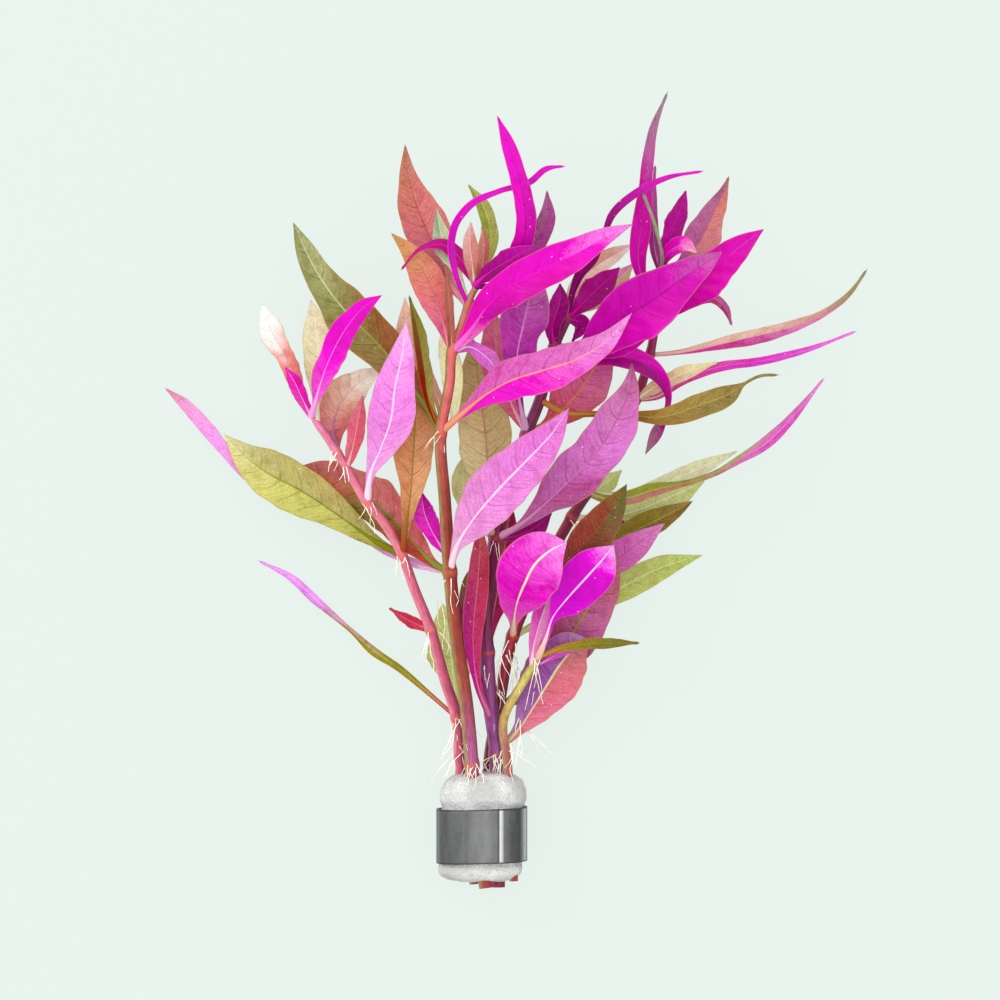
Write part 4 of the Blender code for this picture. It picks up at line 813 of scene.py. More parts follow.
# %% Looks of the leaves
# name: left half, right half, veins, other side; the left half is on the left when looking from base to tip
LOOKS = {
    "leaf_left_1": (
        "C84860 98803A 909020 A89840 D890E0 E898F0 E098E8",
        "C04858 808020 8A8A28 C8A0A0 E898F0 F0A8F4 E8A0F0", "C85868 D0A060 E8D0A0 F4D8F4 F0C8F0", "E090E0"),
    "leaf_left_2": ("E4F0A0 DCE898 E4F0A0", "E0ECA0", "ECF4B8", "D8DCA0"),
    "leaf_left_3": (
        "70702A B0B058 C0C468 C8CC70 D0D080 E0E0A0", "6A6820 A09858 B8AC68 B4B068 BCBC78 D4D49C",
        "6E6A10 70781C 74802A 8E983C B8C068", "E090E0 D890D8 E898E8"),
    "leaf_left_4": (
        "A05A3A D09068 D8986C C88860 B07848", "A86A40 D8A074 DCA478 CC9060 B07848",
        "A04030 907030 8A7830 988040", "C87870"),
    "leaf_left_5": (
        "F0B4E8 F0A4E8 EC90E4 F09CE8 F4B8EC", "ECA8E4 F0ACE8 EC90E4 F0A0E8 F4BCF0", "F8E0F0 F8DCF4 F8DCF4",
        "E880D8"),
    "leaf_left_7": (
        "D07880 D88888 E0B8A0 F6F4DC FAFAF0", "C06070 D07878 E0B098 F6F6E4 FAFAF2",
        "B870A0 B070A0 E0B8B0 F4F0DC", "ECC0B0"),
    "leaf_left_8": ("ECD8B8 ECE8B8 F0ECC8 F0ECD0", "ECD0A8 F0E4C0 F0E8C8", "F4F0D8", "ECE0C0"),
    "leaf_left_9": (
        "E070A8 E08080 E89088 F2F0E8 F0F8F4 F0F8F4", "D06890 D87878 E49C90 EEF0EA F0F8F4",
        "D07898 D8A0A8 DCE0DA", "ECC8C0"),
    "leaf_left_10": (
        "E860C8 F060D8 F030D8 F800DC F400D4", "F080D8 F060D8 E820CC E800C8 F000D0", "F8B0E8 F070DC F040D8",
        "E870CC"),
    "leaf_front_1": (
        "A84838 B85448 888038 C87860 B86060", "C86068 D07070 D88480 C87070 B07860",
        "7A8030 7A8838 8A8040 B06858", "E098C0"),
    "leaf_front_2": (
        "F0C4D8 ECA4DC E890DC E480D8 E888DC", "F0BCD8 E89CDC E890DC E488D8 DC78D0", "F8DCE4 F8D8F0 F4C8F0",
        "D868B8"),
    "leaf_front_4": (
        "DC74A8 DC68BC DC70C0 E484CC ECA0E4", "E840C0 F020D0 EC50CC E880D4 EC9CE8",
        "E89878 E89878 E8A090 F0B0D8", "D060A8"),
    "leaf_front_5": (
        "A06838 A07C48 948048 8C8C4C 9CA068 848C50", "98483C A0543C 946038 8C8048 A8AC74 98A468",
        "88903C 8C943C 909A44 CCCCA0 D4D4B0", "A87060"),
    "leaf_front_6": (
        "8A3020 902820 8E3828 7C5A28 7A7830", "98803A A09048 A09850 8C8838 7A7830", "A04030 A07038 909040",
        "A85048"),
    "leaf_front_7": ("E8A890 F0BCA4 F0C8B4 F4D4C0", "F0B8A0 F0C4B0 F4D0BC", "F4DCD0", "ECB8A8"),
    "leaf_front_8": (
        "E060A0 E07890 E08880 D49868 C49058", "E05898 DC6878 DC8078 DCA078 C48858", "F090A0 C86878 C08858",
        "E08888"),
    "leaf_front_9": (
        "F060B8 F000C0 F400CC F020D0 F078E0 EC88E0", "F8A0D8 D000A8 E800B8 F000C0 E840CC E890E0",
        "F080D0 F020C8 F040D0 F090E0", "E050C0"),
    "leaf_front_10": (
        "D07888 D07888 C87074 C47C68 B07860", "E088A8 DC8C98 D88080 C87870 A87860", "E8A0A8 B05060 A05048",
        "D08080"),
    "leaf_front_11": (
        "D800C0 E000C8 F000D8 F400DC F000DC E820D0", "C800B0 D800C0 F000D0 F000D8", "E840D0", "D820B8"),
    "leaf_front_12": (
        "C00098 E000B8 F800D0 F800D8 F000D0", "A00080 C000A0 E000BC F000CC F000D0", "A00080 A00080 C000A0",
        "E020B0"),
    "leaf_front_14": (
        "A83088 B04898 B85C9C A86490 A86890", "A03080 A84890 B05898", "88205A 904878", "A85088"),
    "leaf_centre_1": (
        "D0A088 B078A8 A060A8 9C58A4 A860A8 D8A0D8", "E09898 E08498 DC7890 DC7888 DC8488 E49094",
        "D8B898 D8D490 DCDC98 D8D098", "C07098"),
    "leaf_centre_2": (
        "C01890 D020B0 C020A0 8E7838 7C7A30", "B81888 C020A0 B83080 8A7A38 7C7A30", "D050A8 B06860 908840",
        "B84080"),
    "leaf_centre_3": (
        "C040A0 B83088 B03870 B84868 C05060", "C84890 C04070 B84060 B84058 C06060", "D870A8 C86078 C87068",
        "B04868"),
    "leaf_centre_4": ("B03870 C04868 C85868 D07070", "B03868", "D88088", "B85068"),
    "leaf_centre_5": (
        "C060A0 C870B0 C870B8 D478C4 D080B8 B86890", "C068A0 C070A8 BC5898 E084D8 D074B8 A86070",
        "E8A8C8 C880B0 B06898 904070", "B05080"),
    "leaf_centre_6": (
        "ECE8B8 E4DCAC DCCC98 D4B888 CCB480 C0A870", "ECE8B8 DCCC98 CCB480 C4AC78 C0A870 B8A468",
        "D8B890 C09070 B08060 A87860", "B0A070"),
    "leaf_centre_7": (
        "D06078 D86880 E070A0 E070A8 E078B8", "D06068 D86880 E080A8 E070B8 D868B0", "E09850 E09058 E09870",
        "D06878"),
    "leaf_centre_8": (
        "D06080 E07898 E478A0 E888A8", "E07090 E88098 E888A0 ECA0A0", "F0B8C0 D87890", "D87888"),
    "leaf_centre_9": (
        "C048A0 B84CA8 C048B0 B850A8 C878B8", "C030A0 B030A0 B840A8 C060B0 D088C0", "E0A8D8 D898D0 A04090",
        "C05898"),
    "leaf_centre_10": (
        "D000B0 E400C4 E000C0 D810B8 C850B0 B868A0", "C800A8 E000B8 F000C8 E000B8 D030B0 C868A8",
        "F080D0 C000A0 B80098 A84898", "E040B8"),
    "leaf_centre_11": (
        "D800B0 E800C0 F000C8 E000B8 B83090 907880", "C00098 C80098 A80088 B04088 907880",
        "E850C0 B81090 A86078", "D828A8"),
    "leaf_centre_12": (
        "C07038 B87838 A88040 A08848 98844C 8A7848", "C07038 A86830 9A7038 8E7A40 887840 7C6C40",
        "C88048 B89050 A89860", "A07850"),
    "leaf_centre_13": (
        "880068 8A0070 98007C C800A8 F000D0 F430D8", "780060 880068 980078 D800B4 F040D0",
        "A80080 980078 E020B8", "B00090"),
    "leaf_centre_14": ("C00090", "B80088", "D830A0", "A02078"),
    "leaf_centre_15": ("F090C0 F098D0 F0A8D8 E8A0C0", "E8B0B8 D8D090 D0D080 D8B0A0", "F0C8E0", "E090B8"),
    "leaf_centre_16": ("F0D0C0 F0D8C8 E8B0A0 F0E0D0", "E89890 F0C8B8 F0E0D0 F0E8E0", "E08078", "E8B8A8"),
    "leaf_right_1": (
        "E8A0A0 EC60CC EC3CCC F058D8 F490E8", "E898A0 F068D4 EC40CC F064DC F49CEC", "F0C0A8 F4E8C0 F4E8D0",
        "D860B0"),
    "leaf_right_2": (
        "B0B858 C0CC70 C8D480 BCCC70", "A8B450 BCC868 C4D078 B8C868", "D8E0A0 DCE4A8", "C8C880"),
    "leaf_right_3": (
        "A04C44 A8544C A85448 985038 74702C", "90403C 984840 904C3C 786438 606C2C", "A07858 885040 805838",
        "A05C50"),
    "leaf_right_4": (
        "D880B8 E078C4 D870C0 E090C8", "C870A8 D068B4 DC78C0 E090C8", "E8B8C8 B85898 A85088", "C870A0"),
    "leaf_right_5": (
        "A89848 988838 8A7830 988048", "887028 907830 887030 806030", "A8A058 A89850", "988048"),
    "leaf_right_6": ("D8E0A8 DCE4A8 D8E098 D0DC90", "D0DC98 D8E4A0 D8E0A0 D0DC90", "E8ECC8", "E0E0B0"),
    "leaf_right_7": (
        "A8A850 98A040 8A9838 98A048 A8A858 D888B8 D870C0 E080D0 E088D8",
        "B0A060 C08878 B87868 A8905C D080B0 E068C8 D858C0 E080D0 E898E0",
        "C0B870 A8A850 D8A0A8 E8B0D8 F0C0E8", "D868B0"),
    "leaf_right_8": ("DCE4B8 E4E8C0 E0E4B8 D8E0B0", "E0E4C0", "ECF0D0", "E4E4C0"),
    "leaf_right_10": (
        "E08090 E870B0 E850D0 EC60D8 F088E4", "E070A8 E858B8 E050D0 E468DC F090E8", "F0B8B8 F080D8 F0A0E8",
        "D858B8"),
    "leaf_right_12": (
        "D8A094 E8C4B0 ECCCB8 E4BCAC D8A898 A09870 888458",
        "D878A0 D850A0 D058A0 D878B4 E090B8 A08860 888850", "E8B8B0 D898A8 C09880", "D870A0"),
    "leaf_right_13": (
        "D000A8 E000B8 E400BC F000C4 E800C0", "C80098 E000B0 F000C0 E800BC D800B4", "E860C8 C80098 E060C0",
        "D838A8"),
    "leaf_right_14": (
        "C80098 E000B8 E010B0 C04098 A06890 887880", "C00090 E000B0 D820A8 C048A0 A86890 987880",
        "E860C8 A83088 A06880", "C03898"),
    "leaf_right_15": (
        "D050A0 CC68A8 BC70A0 B46C90 A86078", "D07070 DC90A0 DC9090 D08078 B07068", "D080A0 B06078 A06068",
        "C07080"),
    "leaf_right_17": (
        "B05860 B05070 B85888 C07090 C07878 A87050", "D06088 C86090 C86AA8 D078A8 C87088 A88048",
        "A09040 989038 A89848 B0A050", "B86080"),
    "leaf_short_1": (
        "F09890 F068D4 F418F0 F000E8 F400E8 F4B0F4", "F0A090 F048D8 F400F4 E810E0 F018E4 F4B8F4",
        "F0C0A0 F8E8F4 F8DCF8 F8D8F8", "D048B8"),
    "leaf_short_3": (
        "C87840 A88038 90802C 787028 6E6A28", "C06830 988030 80782C 706A28 6E6A28", "C89050 A09048 888040",
        "90803A"),
}
FOLD_LOOKS = {
    "leaf_left_3": (
        "F0B4E8 F0A8E8 F0A4E8 F0A8E0 D88898", "D8A0A0 ECA4E0 ECA0E4 E8A8D8 D08878", "E0A8DC", "E090E0"),
    "leaf_front_1": ("F0C0D8 F4C8F0 F4B8F0 F4C8F4", "F0B0D0 F0A8E8 F4B0EC", "F8D8F0", "E8A0E0"),
    "leaf_right_4": ("C000B0 D000C8 C800C0 B80098", "C000A8", "E040C8", "B020A0"),
    "leaf_centre_1": ("E058C8 E860D0 E478D8 E080C8", "E060C8 E878D8", "F090E0", "D060C0"),
}
# The shoot leaves of each stem, in the order of their paths
SHOOT_LOOKS = {
    "stem_left": [
        ("E060B8 E850C0 E848B8", "E040B0", "F0A0D8", "E060B0"),
        ("C84860 C84860 B84850", "C04058", "D88080", "B84858"),
        ("E08090 E07088 E08C98", "D86878", "E8A8A8", "D87080"),
    ],
    "stem_front": [
        ("C87870 D89890 E0B0A8 E8C8C0", "C07068 D08880 E0A8A0", "E8C8C0", "D8A0A0"),
        ("A85850 B86860 C88880 D8A898", "A85850 C07068", "D8A898", "C08078"),
        ("A05048 A86050 A87060", "B06058", "C89080", "A86058"),
        ("E040C0 E048C0 D850B8", "D030B0", "E890D0", "D040A8"),
        ("C00090 B80090 C800A8 D020B0", "A80080 B00088 C000A0", "E040B8", "B82090"),
        ("98A048 A0A850 98A048 8A9040", "A8A858", "C0C880", "A0A060"),
        ("D81098 D01090 C82090 B84070", "C80890 C81088 B82878", "D850A8", "C03080"),
        ("E070D0 E878DC E888E0 ECA0E8", "E070D0 E87CDC E898E4", "F4E0F4", "D080C8"),
        ("FAFCCC", "F8FCC8 FCFFD4", "FCFFE0", "F4F4C8"),
        ("C8CCA0 D0D8B0 B0C8A8 789070", "D8C8A0 D0D4A8 B8C8A0", "E0E0C0", "C8C8A0"),
    ],
    "stem_centre": [
        ("B80090 C80098 B80090", "A80080", "E040B0", "B82088"),
        ("C00098 D000A8 C80098", "B80090", "E040B0", "C02090"),
        ("A81078 B81888 B01080 901068", "B01080 B81088 980870", "B84088", "90206A"),
        ("C8C878 E0E0A0 E8E8B0", "D8D890 E4E4A8 E0E0A0", "E8E8B8", "D8D8A0"),
        ("B00090 D800B0 F000C8 F008D0", "C000A0 E800C0 F800D0", "D000A8", "D000A0"),
    ],
    "stem_right": [
        ("A03088 A84890 A86088", "A84090 B05898", "B88098", "A05080"),
        ("D800B8 F000C8 F000CC F0C8D8", "C800A8 E000BC F060D0 F0D0D0", "E860C8", "E070B8"),
        ("C05088 C86898 C070A0", "B84880", "D890B8", "B85888"),
        ("D0DC90 D8E0A0 D8E098", "D0DC88", "E8ECC0", "D8D8A0"),
        ("E8B090 F0D8B0 F0ECB8 E8E8B0", "E8C0A0 F0E8C0", "F4F0D8", "E8D0A8"),
        ("B80890 C818A0 B82090 A83080", "A80080 B81090", "C030A0", "B83090"),
        ("889868 90A878 88A080", "90A070 A0B088", "A8B890", "889070"),
    ],
    "stem_short": [
        ("E080C0 E878C8 D850B8 D86098", "E888C8 E898D0 E8A0C8", "F4D0D8", "D860A8"),
    ],
}
print(len(LOOKS), "named looks")

# %% Build the leaves
SEED = 7
chance = np.random.default_rng(SEED)
leaves = {}
for stem, paths in LEAF_PATHS.items():
    for name, knots in paths.items():
        left, right, vein, other = LOOKS[name]
        face = living_leaf(name + "_face", left, right, vein)
        back = living_leaf(name + "_back", other, other, other)
        leaves[name] = make_leaf(name, knots, face, back, chance)
        if name in FOLD_PATHS:
            left, right, vein, other = FOLD_LOOKS[name]
            front, under = [living_leaf(name + word, *look) for word, look in
                            (("_fold", (left, right, vein)), ("_under", (other, other, other)))]
            make_leaf(name + "_fold", FOLD_PATHS[name], front, under, chance)
            leaves[name].select_set(True)
            bpy.context.view_layer.objects.active = leaves[name]
            bpy.ops.object.join()
        leaves[name].name = name + "_blade"
        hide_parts(name)
        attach(leaves[name], "root")
print(len(leaves), "leaves")

shoots = {}
for stem, paths in SHOOT_PATHS.items():
    shoots[stem] = []
    for count, (knots, look) in enumerate(zip(paths, SHOOT_LOOKS[stem]), 1):
        left, right, vein, other = look
        name = stem.replace("stem", "shoot") + f"_{count}"
        face = living_leaf(name + "_face", left, right, vein)
        back = living_leaf(name + "_back", other, other, other)
        shoots[stem].append(make_leaf(name, knots, face, back, chance))
print(sum(len(s) for s in shoots.values()), "shoot leaves")

# %% [markdown]
# ## The stems
#
# A stem is a juicy round rod, a little ribbed, which swells where a pair of leaves grows. It could be a
# curve with a round bevel, but the same way as for the leaves, a straight model rod bent along a path,
# also gives it a map that runs along and round it, for streaks and for the orange ring at each joint.

# %% Stem paths
# From the cut end up: x, y in steps, height in mm, radius in mm, and True at a joint
STEMS = {
    "stem_left": [
        (475, 884, 12.2, 1.35, False), (464, 800, 12.0, 1.35, False),
        (460, 768, 12.5, 1.4, False), (457, 718, 14.0, 1.4, True), (445, 680, 16.0, 1.35, False),
        (431, 630, 18.5, 1.3, True), (415, 590, 20.0, 1.25, False), (402, 555, 21.5, 1.2, True),
        (380, 517, 23.0, 1.15, False), (367, 502, 24.0, 1.15, True), (347, 468, 25.5, 1.05, False),
        (337, 452, 26.0, 1.05, True), (322, 430, 27.0, 0.95, False), (311, 416, 27.5, 0.9, True),
    ],
    "stem_front": [
        (486, 888, 16.4, 1.65, False), (474, 800, 16.0, 1.65, False),
        (472, 765, 16.5, 1.7, True), (466, 700, 20.0, 1.7, False), (457, 640, 23.5, 1.65, False),
        (450, 572, 27.0, 1.65, True), (445, 500, 31.0, 1.5, False), (441, 432, 35.0, 1.4, True),
        (450, 380, 38.0, 1.25, False), (452, 352, 39.5, 1.2, True), (460, 330, 41.0, 1.0, False),
        (468, 305, 42.0, 0.9, True), (475, 285, 43.0, 0.75, False),
    ],
    "stem_centre": [
        (498, 887, 10.6, 1.8, False), (497, 800, 11.0, 1.8, False),
        (497, 755, 11.0, 1.85, True), (490, 700, 14.0, 1.85, False), (487, 653, 16.0, 1.8, True),
        (486, 620, 17.5, 1.75, False), (491, 580, 19.0, 1.7, False), (496, 538, 21.0, 1.7, True),
        (502, 515, 22.0, 1.6, False), (527, 433, 25.0, 1.45, True), (540, 400, 26.0, 1.4, False),
        (554, 347, 28.0, 1.3, True), (567, 318, 29.0, 1.1, True), (574, 293, 30.0, 0.8, False),
    ],
    "stem_right": [
        (487, 884, 7.2, 1.45, False), (488, 800, 7.0, 1.45, False),
        (489, 765, 7.2, 1.45, False), (500, 700, 9.0, 1.45, False), (513, 636, 11.5, 1.45, True),
        (527, 602, 13.0, 1.4, False), (540, 573, 14.0, 1.35, True), (556, 545, 15.0, 1.35, False),
        (572, 517, 16.0, 1.35, True), (587, 493, 17.0, 1.3, True), (602, 462, 18.5, 1.25, False),
        (636, 400, 21.0, 1.2, True), (650, 355, 24.0, 1.1, True), (656, 320, 26.0, 1.0, True),
        (660, 268, 28.0, 0.75, False),
    ],
    "stem_short": [
        (514, 881, 14.4, 1.1, False), (510, 800, 15.0, 1.1, False),
        (508, 765, 15.0, 1.1, False), (504, 719, 15.4, 1.1, False), (522, 684, 15.6, 1.1, False),
        (538, 658, 16.0, 1.05, True),
    ],
}

# %% The model stem: a ribbed rod along X from 0 to 1
STEM_SIDES = 28
STEM_CUTS = (99, 1)  # cuts in each round: the second round halves every part
RIBS = 7
RIB_HEIGHT = 0.035

bpy.ops.object.select_all(action="DESELECT")
bpy.ops.mesh.primitive_cylinder_add(vertices=STEM_SIDES, radius=1, depth=1, location=(0.5, 0, 0),
                                    rotation=(0, math.pi / 2, 0))
stem_model = bpy.context.object
stem_model.name = "stem_model"
bpy.ops.object.transform_apply(location=True, rotation=True, scale=True)
for cuts in STEM_CUTS:
    cut_across(stem_model, 0, cuts)
points = points_of(stem_model)
turn = np.arctan2(points[:, 2], points[:, 1])
points[:, 1:] *= (1 + RIB_HEIGHT * np.cos(RIBS * turn))[:, None]
move_points(stem_model, points)
for loop in stem_model.data.loops:
    x, y, z = stem_model.data.vertices[loop.vertex_index].co
    stem_model.data.uv_layers.active.data[loop.index].uv = (x, 0.5 + math.atan2(y, z) / (2 * math.pi))
print("model stem:", len(stem_model.data.polygons), "faces")

# %% Stem finish
STREAK_MM = 0.35


def juicy_stem(name, colours, lit_side_colour, shaded_side_colour, joint, shine=0.32):
    """Juicy stem skin: streaked along its length, with painted light down its left side and painted shade
    down its right, and orange-brown at the joints.
    """
    finish, tree = new_finish(name)
    spot = add_node(tree, "TexCoord")
    chart = add_node(tree, "UVMap", uv_map="UVMap")
    axes = add_node(tree, "SeparateXYZ", {"Vector": chart.outputs["UV"]})
    along, round_it = axes.outputs["X"], axes.outputs["Y"]
    stretched = add_node(tree, "Mapping", {"Vector": chart.outputs["UV"]}, {"Scale": (26.0, 14.0, 1.0)})
    streaks = add_node(tree, "TexNoise", {"Vector": stretched.outputs["Vector"]},
                       {"Scale": 1.6, "Detail": 6.0, "Roughness": 0.6})
    clouds = add_node(tree, "TexNoise", {"Vector": spot.outputs["Object"]},
                      {"Scale": 1 / (2.4 * MM), "Detail": 4.0})
    specks = add_node(tree, "TexNoise", {"Vector": spot.outputs["Object"]}, {"Scale": 1 / (STREAK_MM * MM)})
    body = ramp(tree, along, colours)
    # painted light down the left side of the stem and painted shade down its right side
    body = mix(tree, between(tree, round_it, 0.52, 0.68), body, linear(lit_side_colour))
    body = mix(tree, between(tree, round_it, 0.44, 0.26), body, linear(shaded_side_colour))
    tone = mix(tree, between(tree, streaks.outputs["Fac"], 0.32, 0.68), linear("8A8A8A"), linear("FFFFFF"))
    body = mix(tree, 0.55, body, tone, "MULTIPLY")
    tone = mix(tree, between(tree, clouds.outputs["Fac"], 0.35, 0.65), linear("6A6A6A"), linear("B8B8B8"))
    body = mix(tree, 0.35, body, tone, "SOFT_LIGHT")
    ring = add_node(tree, "Attribute", attribute_name="joint")
    body = mix(tree, sum_of(tree, "MULTIPLY", ring.outputs["Fac"], 0.75), body, linear(joint))
    relief = sum_of(tree, "MULTIPLY_ADD", streaks.outputs["Fac"], 0.7,
                    sum_of(tree, "MULTIPLY", specks.outputs["Fac"], 0.3))
    bump = add_node(tree, "Bump", {"Height": relief}, {"Strength": 0.45, "Distance": 0.2 * MM})
    skin = add_node(tree, "BsdfPrincipled", {"Base Color": body, "Normal": bump.outputs["Normal"]},
                    {"Roughness": shine, "Specular IOR Level": 0.3})
    add_node(tree, "OutputMaterial", {"Surface": skin.outputs["BSDF"]})
    return finish


def cut_pith():
    """The cut face of a stem: pale damp pith inside a red-brown rim."""
    finish, tree = new_finish("cut_pith")
    spot = add_node(tree, "TexCoord")
    pores = add_node(tree, "TexVoronoi", {"Vector": spot.outputs["Object"]}, {"Scale": 1 / (0.4 * MM)})
    body = mix(tree, between(tree, pores.outputs["Distance"], 0.2, 0.7), linear("A88040"), linear("C8A868"))
    skin = add_node(tree, "BsdfPrincipled", {"Base Color": body}, {"Roughness": 0.55})
    add_node(tree, "OutputMaterial", {"Surface": skin.outputs["BSDF"]})
    return finish


# name: colours from the cut end up, painted light on the left edge, painted shade on the right edge, joint
# ring
STEM_LOOKS = {
    "stem_left": (
        "982C40 A83C58 B84868 BC4C6C C85878 D0627C D86C80 DC708C DC78A4", "E48C9C", "A03054", "C86048"),
    "stem_front": (
        "9A2424 A02828 AC5488 983A2C 922C1C 942C1C 9C3C2A CC5C5E D86668 C87068", "A08850", "7A1410",
        "B85838"),
    "stem_centre": (
        "8A2028 802860 984890 883878 780848 801050 780848 780848 881058 980070", "A84890", "580030",
        "A83828"),
    "stem_right": (
        "801040 781038 801040 A02030 901838 801040 8E1450 90105A A01068", "A03040", "600828", "B04030"),
    "stem_short": ("903838 9A3840 A04048 A84858 A85860 B89850 C8B860 B8A850", "C0A860", "A88840", "C88050"),
}

# %% Build the stems
STEM_SAMPLES = 240
SWELL_MM = 1.1
RING_MM = 0.45
JOINT_SWELL = 0.20  # how much thicker a stem is at a joint, as a share of its radius
TIP_MM = 3  # a stem narrows to a round tip over this length


def make_stem(name):
    """One stem: the model rod bent along its path, with its shoot leaves joined to it."""
    knots = [(*place(x, y, z), r * MM) for x, y, z, r, _ in STEMS[name]]
    rows = smooth(knots, STEM_SAMPLES)
    rows = np.column_stack([rows, np.zeros(len(rows))])
    steps = np.linalg.norm(np.diff(rows[:, :3], axis=0), axis=1)
    reach = np.concatenate([[0], np.cumsum(steps)])
    joints = [reach[np.linalg.norm(rows[:, :3] - np.array(place(x, y, z)), axis=1).argmin()]
              for x, y, z, _, is_joint in STEMS[name] if is_joint]
    swollen = sum(np.exp(-((reach - at) / (SWELL_MM * MM)) ** 2) for at in joints)
    tip = np.clip((reach[-1] - reach) / (TIP_MM * MM), 0.12, 1) ** 0.5
    radii = rows[:, 3] * (1 + JOINT_SWELL * np.clip(swollen, 0, 1)) * tip
    stem = own_copy(stem_model, name + "_shoot")
    share = points_of(stem)[:, 0] * reach[-1]
    bend_along(stem, rows, radii)
    ring = stem.data.attributes.new("joint", "FLOAT", "POINT")
    ring.data.foreach_set("value", np.clip(sum(np.exp(-((share - at) / (RING_MM * MM)) ** 2)
                                               for at in joints), 0, 1).astype(np.float32))
    stem.data.materials.append(juicy_stem(name + "_skin", *STEM_LOOKS[name]))
    stem.data.materials.append(pith)
    ends = [f for f in stem.data.polygons if len(f.vertices) > 4]
    lowest = min(ends, key=lambda f: f.center.y)
    lowest.material_index = 1
    bpy.ops.object.select_all(action="DESELECT")
    for leaf in shoots[name]:
        leaf.select_set(True)
    stem.select_set(True)
    bpy.context.view_layer.objects.active = stem
    if shoots[name]:
        bpy.ops.object.join()
    bpy.ops.object.shade_smooth_by_angle(angle=math.radians(50))
    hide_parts(name)
    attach(stem, "root")
    return stem


pith = cut_pith()
stems = {name: make_stem(name) for name in STEMS}
print("stems:", {name: len(stem.data.polygons) for name, stem in stems.items()})

# %% [markdown]
# ## The foam sleeve
#
# The sleeve is a wrap of soft white foam with coarse grains, pinched by the metal band. It is a round
# block that is squeezed to the same outline as its solid and roughened with noise in real millimetres.

# %% The sleeve
HOLDER_MIDDLE = (481.8, 834.5)
HOLDER_LEAN = math.radians(2.4)
FOAM_BACK, FOAM_FRONT = 0.9, 20.4
FOAM_HALF_WIDTH = 11.0 * MM
FOAM_SIDES, FOAM_CUTS = 144, 100
FOAM_LUMP, FOAM_GRAIN = 0.7 * MM, 0.35 * MM  # height of the lumps and of the grain
ROUNDNESS = 0.85
# how far down the view, and how wide the sleeve is there as a share of its widest
FOAM_OUTLINE = [(771.5, 0.05), (772, 0.42), (774, 0.68), (780, 0.87), (790, 0.97), (800, 0.98), (806, 0.93),
                (835, 0.93), (863, 0.935), (868, 0.955), (873, 0.93), (878, 0.80), (881, 0.55), (881.5, 0.05)]
foam_middle = place(*HOLDER_MIDDLE, (FOAM_BACK + FOAM_FRONT) / 2)


def oval(turn, half_width, half_depth):
    """A point of the rounded section of the sleeve, from its middle."""
    return (half_width * math.copysign(abs(math.cos(turn)) ** ROUNDNESS, math.cos(turn)),
            half_depth * math.copysign(abs(math.sin(turn)) ** ROUNDNESS, math.sin(turn)))


def foam_finish():
    """White foam with coarse grains: matt, chalky, with painted shade in its pores and a few bright grains.
    """
    finish, tree = new_finish("coarse_white_foam")
    spot = add_node(tree, "TexCoord")
    grains = add_node(tree, "TexVoronoi", {"Vector": spot.outputs["Object"]}, {"Scale": 1 / (0.55 * MM)})
    pores = add_node(tree, "TexNoise", {"Vector": spot.outputs["Object"]},
                     {"Scale": 1 / (0.5 * MM), "Detail": 6.0, "Roughness": 0.75})
    clouds = add_node(tree, "TexNoise", {"Vector": spot.outputs["Object"]},
                      {"Scale": 1 / (6 * MM), "Detail": 3.0})
    body = mix(tree, between(tree, clouds.outputs["Fac"], 0.35, 0.65), linear("B0AEAD"), linear("CCCAC8"))
    # painted shade: the pores, the low spots of the noise, are darkened to grey
    body = mix(tree, between(tree, pores.outputs["Fac"], 0.50, 0.36), body, linear("A09CA0"))
    body = mix(tree, between(tree, grains.outputs["Distance"], 0.16, 0.05), body, linear("F8F8F6"))
    height = sum_of(tree, "MULTIPLY_ADD", pores.outputs["Fac"], 1.0, grains.outputs["Distance"])
    bump = add_node(tree, "Bump", {"Height": height}, {"Strength": 0.6, "Distance": 0.35 * MM})
    skin = add_node(tree, "BsdfPrincipled", {"Base Color": body, "Normal": bump.outputs["Normal"]},
                    {"Roughness": 0.92, "Specular IOR Level": 0.25})
    add_node(tree, "OutputMaterial", {"Surface": skin.outputs["BSDF"]})
    return finish


bpy.ops.object.select_all(action="DESELECT")
bpy.ops.mesh.primitive_cylinder_add(vertices=FOAM_SIDES, radius=1, depth=1, end_fill_type="TRIFAN",
                                    rotation=(math.pi / 2, 0, 0))
foam = bpy.context.object
foam.name = "foam_sleeve"
bpy.ops.object.transform_apply(location=True, rotation=True, scale=True)
cut_across(foam, 1, FOAM_CUTS)
points = points_of(foam)
half_depth = (FOAM_FRONT - FOAM_BACK) / 2 * MM
turns = np.arctan2(points[:, 2], points[:, 0])
radial = np.hypot(points[:, 0], points[:, 2])
down = FOAM_OUTLINE[0][0] + (0.5 - points[:, 1]) * (FOAM_OUTLINE[-1][0] - FOAM_OUTLINE[0][0])
share = np.interp(down, [y for y, _ in FOAM_OUTLINE], [s for _, s in FOAM_OUTLINE])
section = np.array([oval(t, FOAM_HALF_WIDTH, half_depth) for t in turns])
nearer = 1 - foam_middle.z / CAMERA_HEIGHT
points[:, 1] = (VIEW_MIDDLE - down) * STEP * nearer - CENTRE_Y
lean = (points[:, 1] - foam_middle.y) * math.tan(HOLDER_LEAN)
points[:, 0] = foam_middle.x + lean + section[:, 0] * share * radial
points[:, 2] = foam_middle.z + section[:, 1] * share * radial
move_points(foam, points)
rough = bpy.data.textures.new("grain", "CLOUDS")
rough.noise_scale = 0.9 * MM
rough.noise_depth = 3
lumps = bpy.data.textures.new("lumps", "CLOUDS")
lumps.noise_scale = 5 * MM
apply_step(foam, "DISPLACE", texture=lumps, strength=FOAM_LUMP, mid_level=0.55)
apply_step(foam, "DISPLACE", texture=rough, strength=FOAM_GRAIN, mid_level=0.55)
foam.data.materials.append(foam_finish())
select_only(foam)
bpy.ops.object.shade_smooth_by_angle(angle=math.radians(60))
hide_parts("foam_wrap")
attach(foam, "root")
print("foam sleeve:", len(foam.data.polygons), "faces")
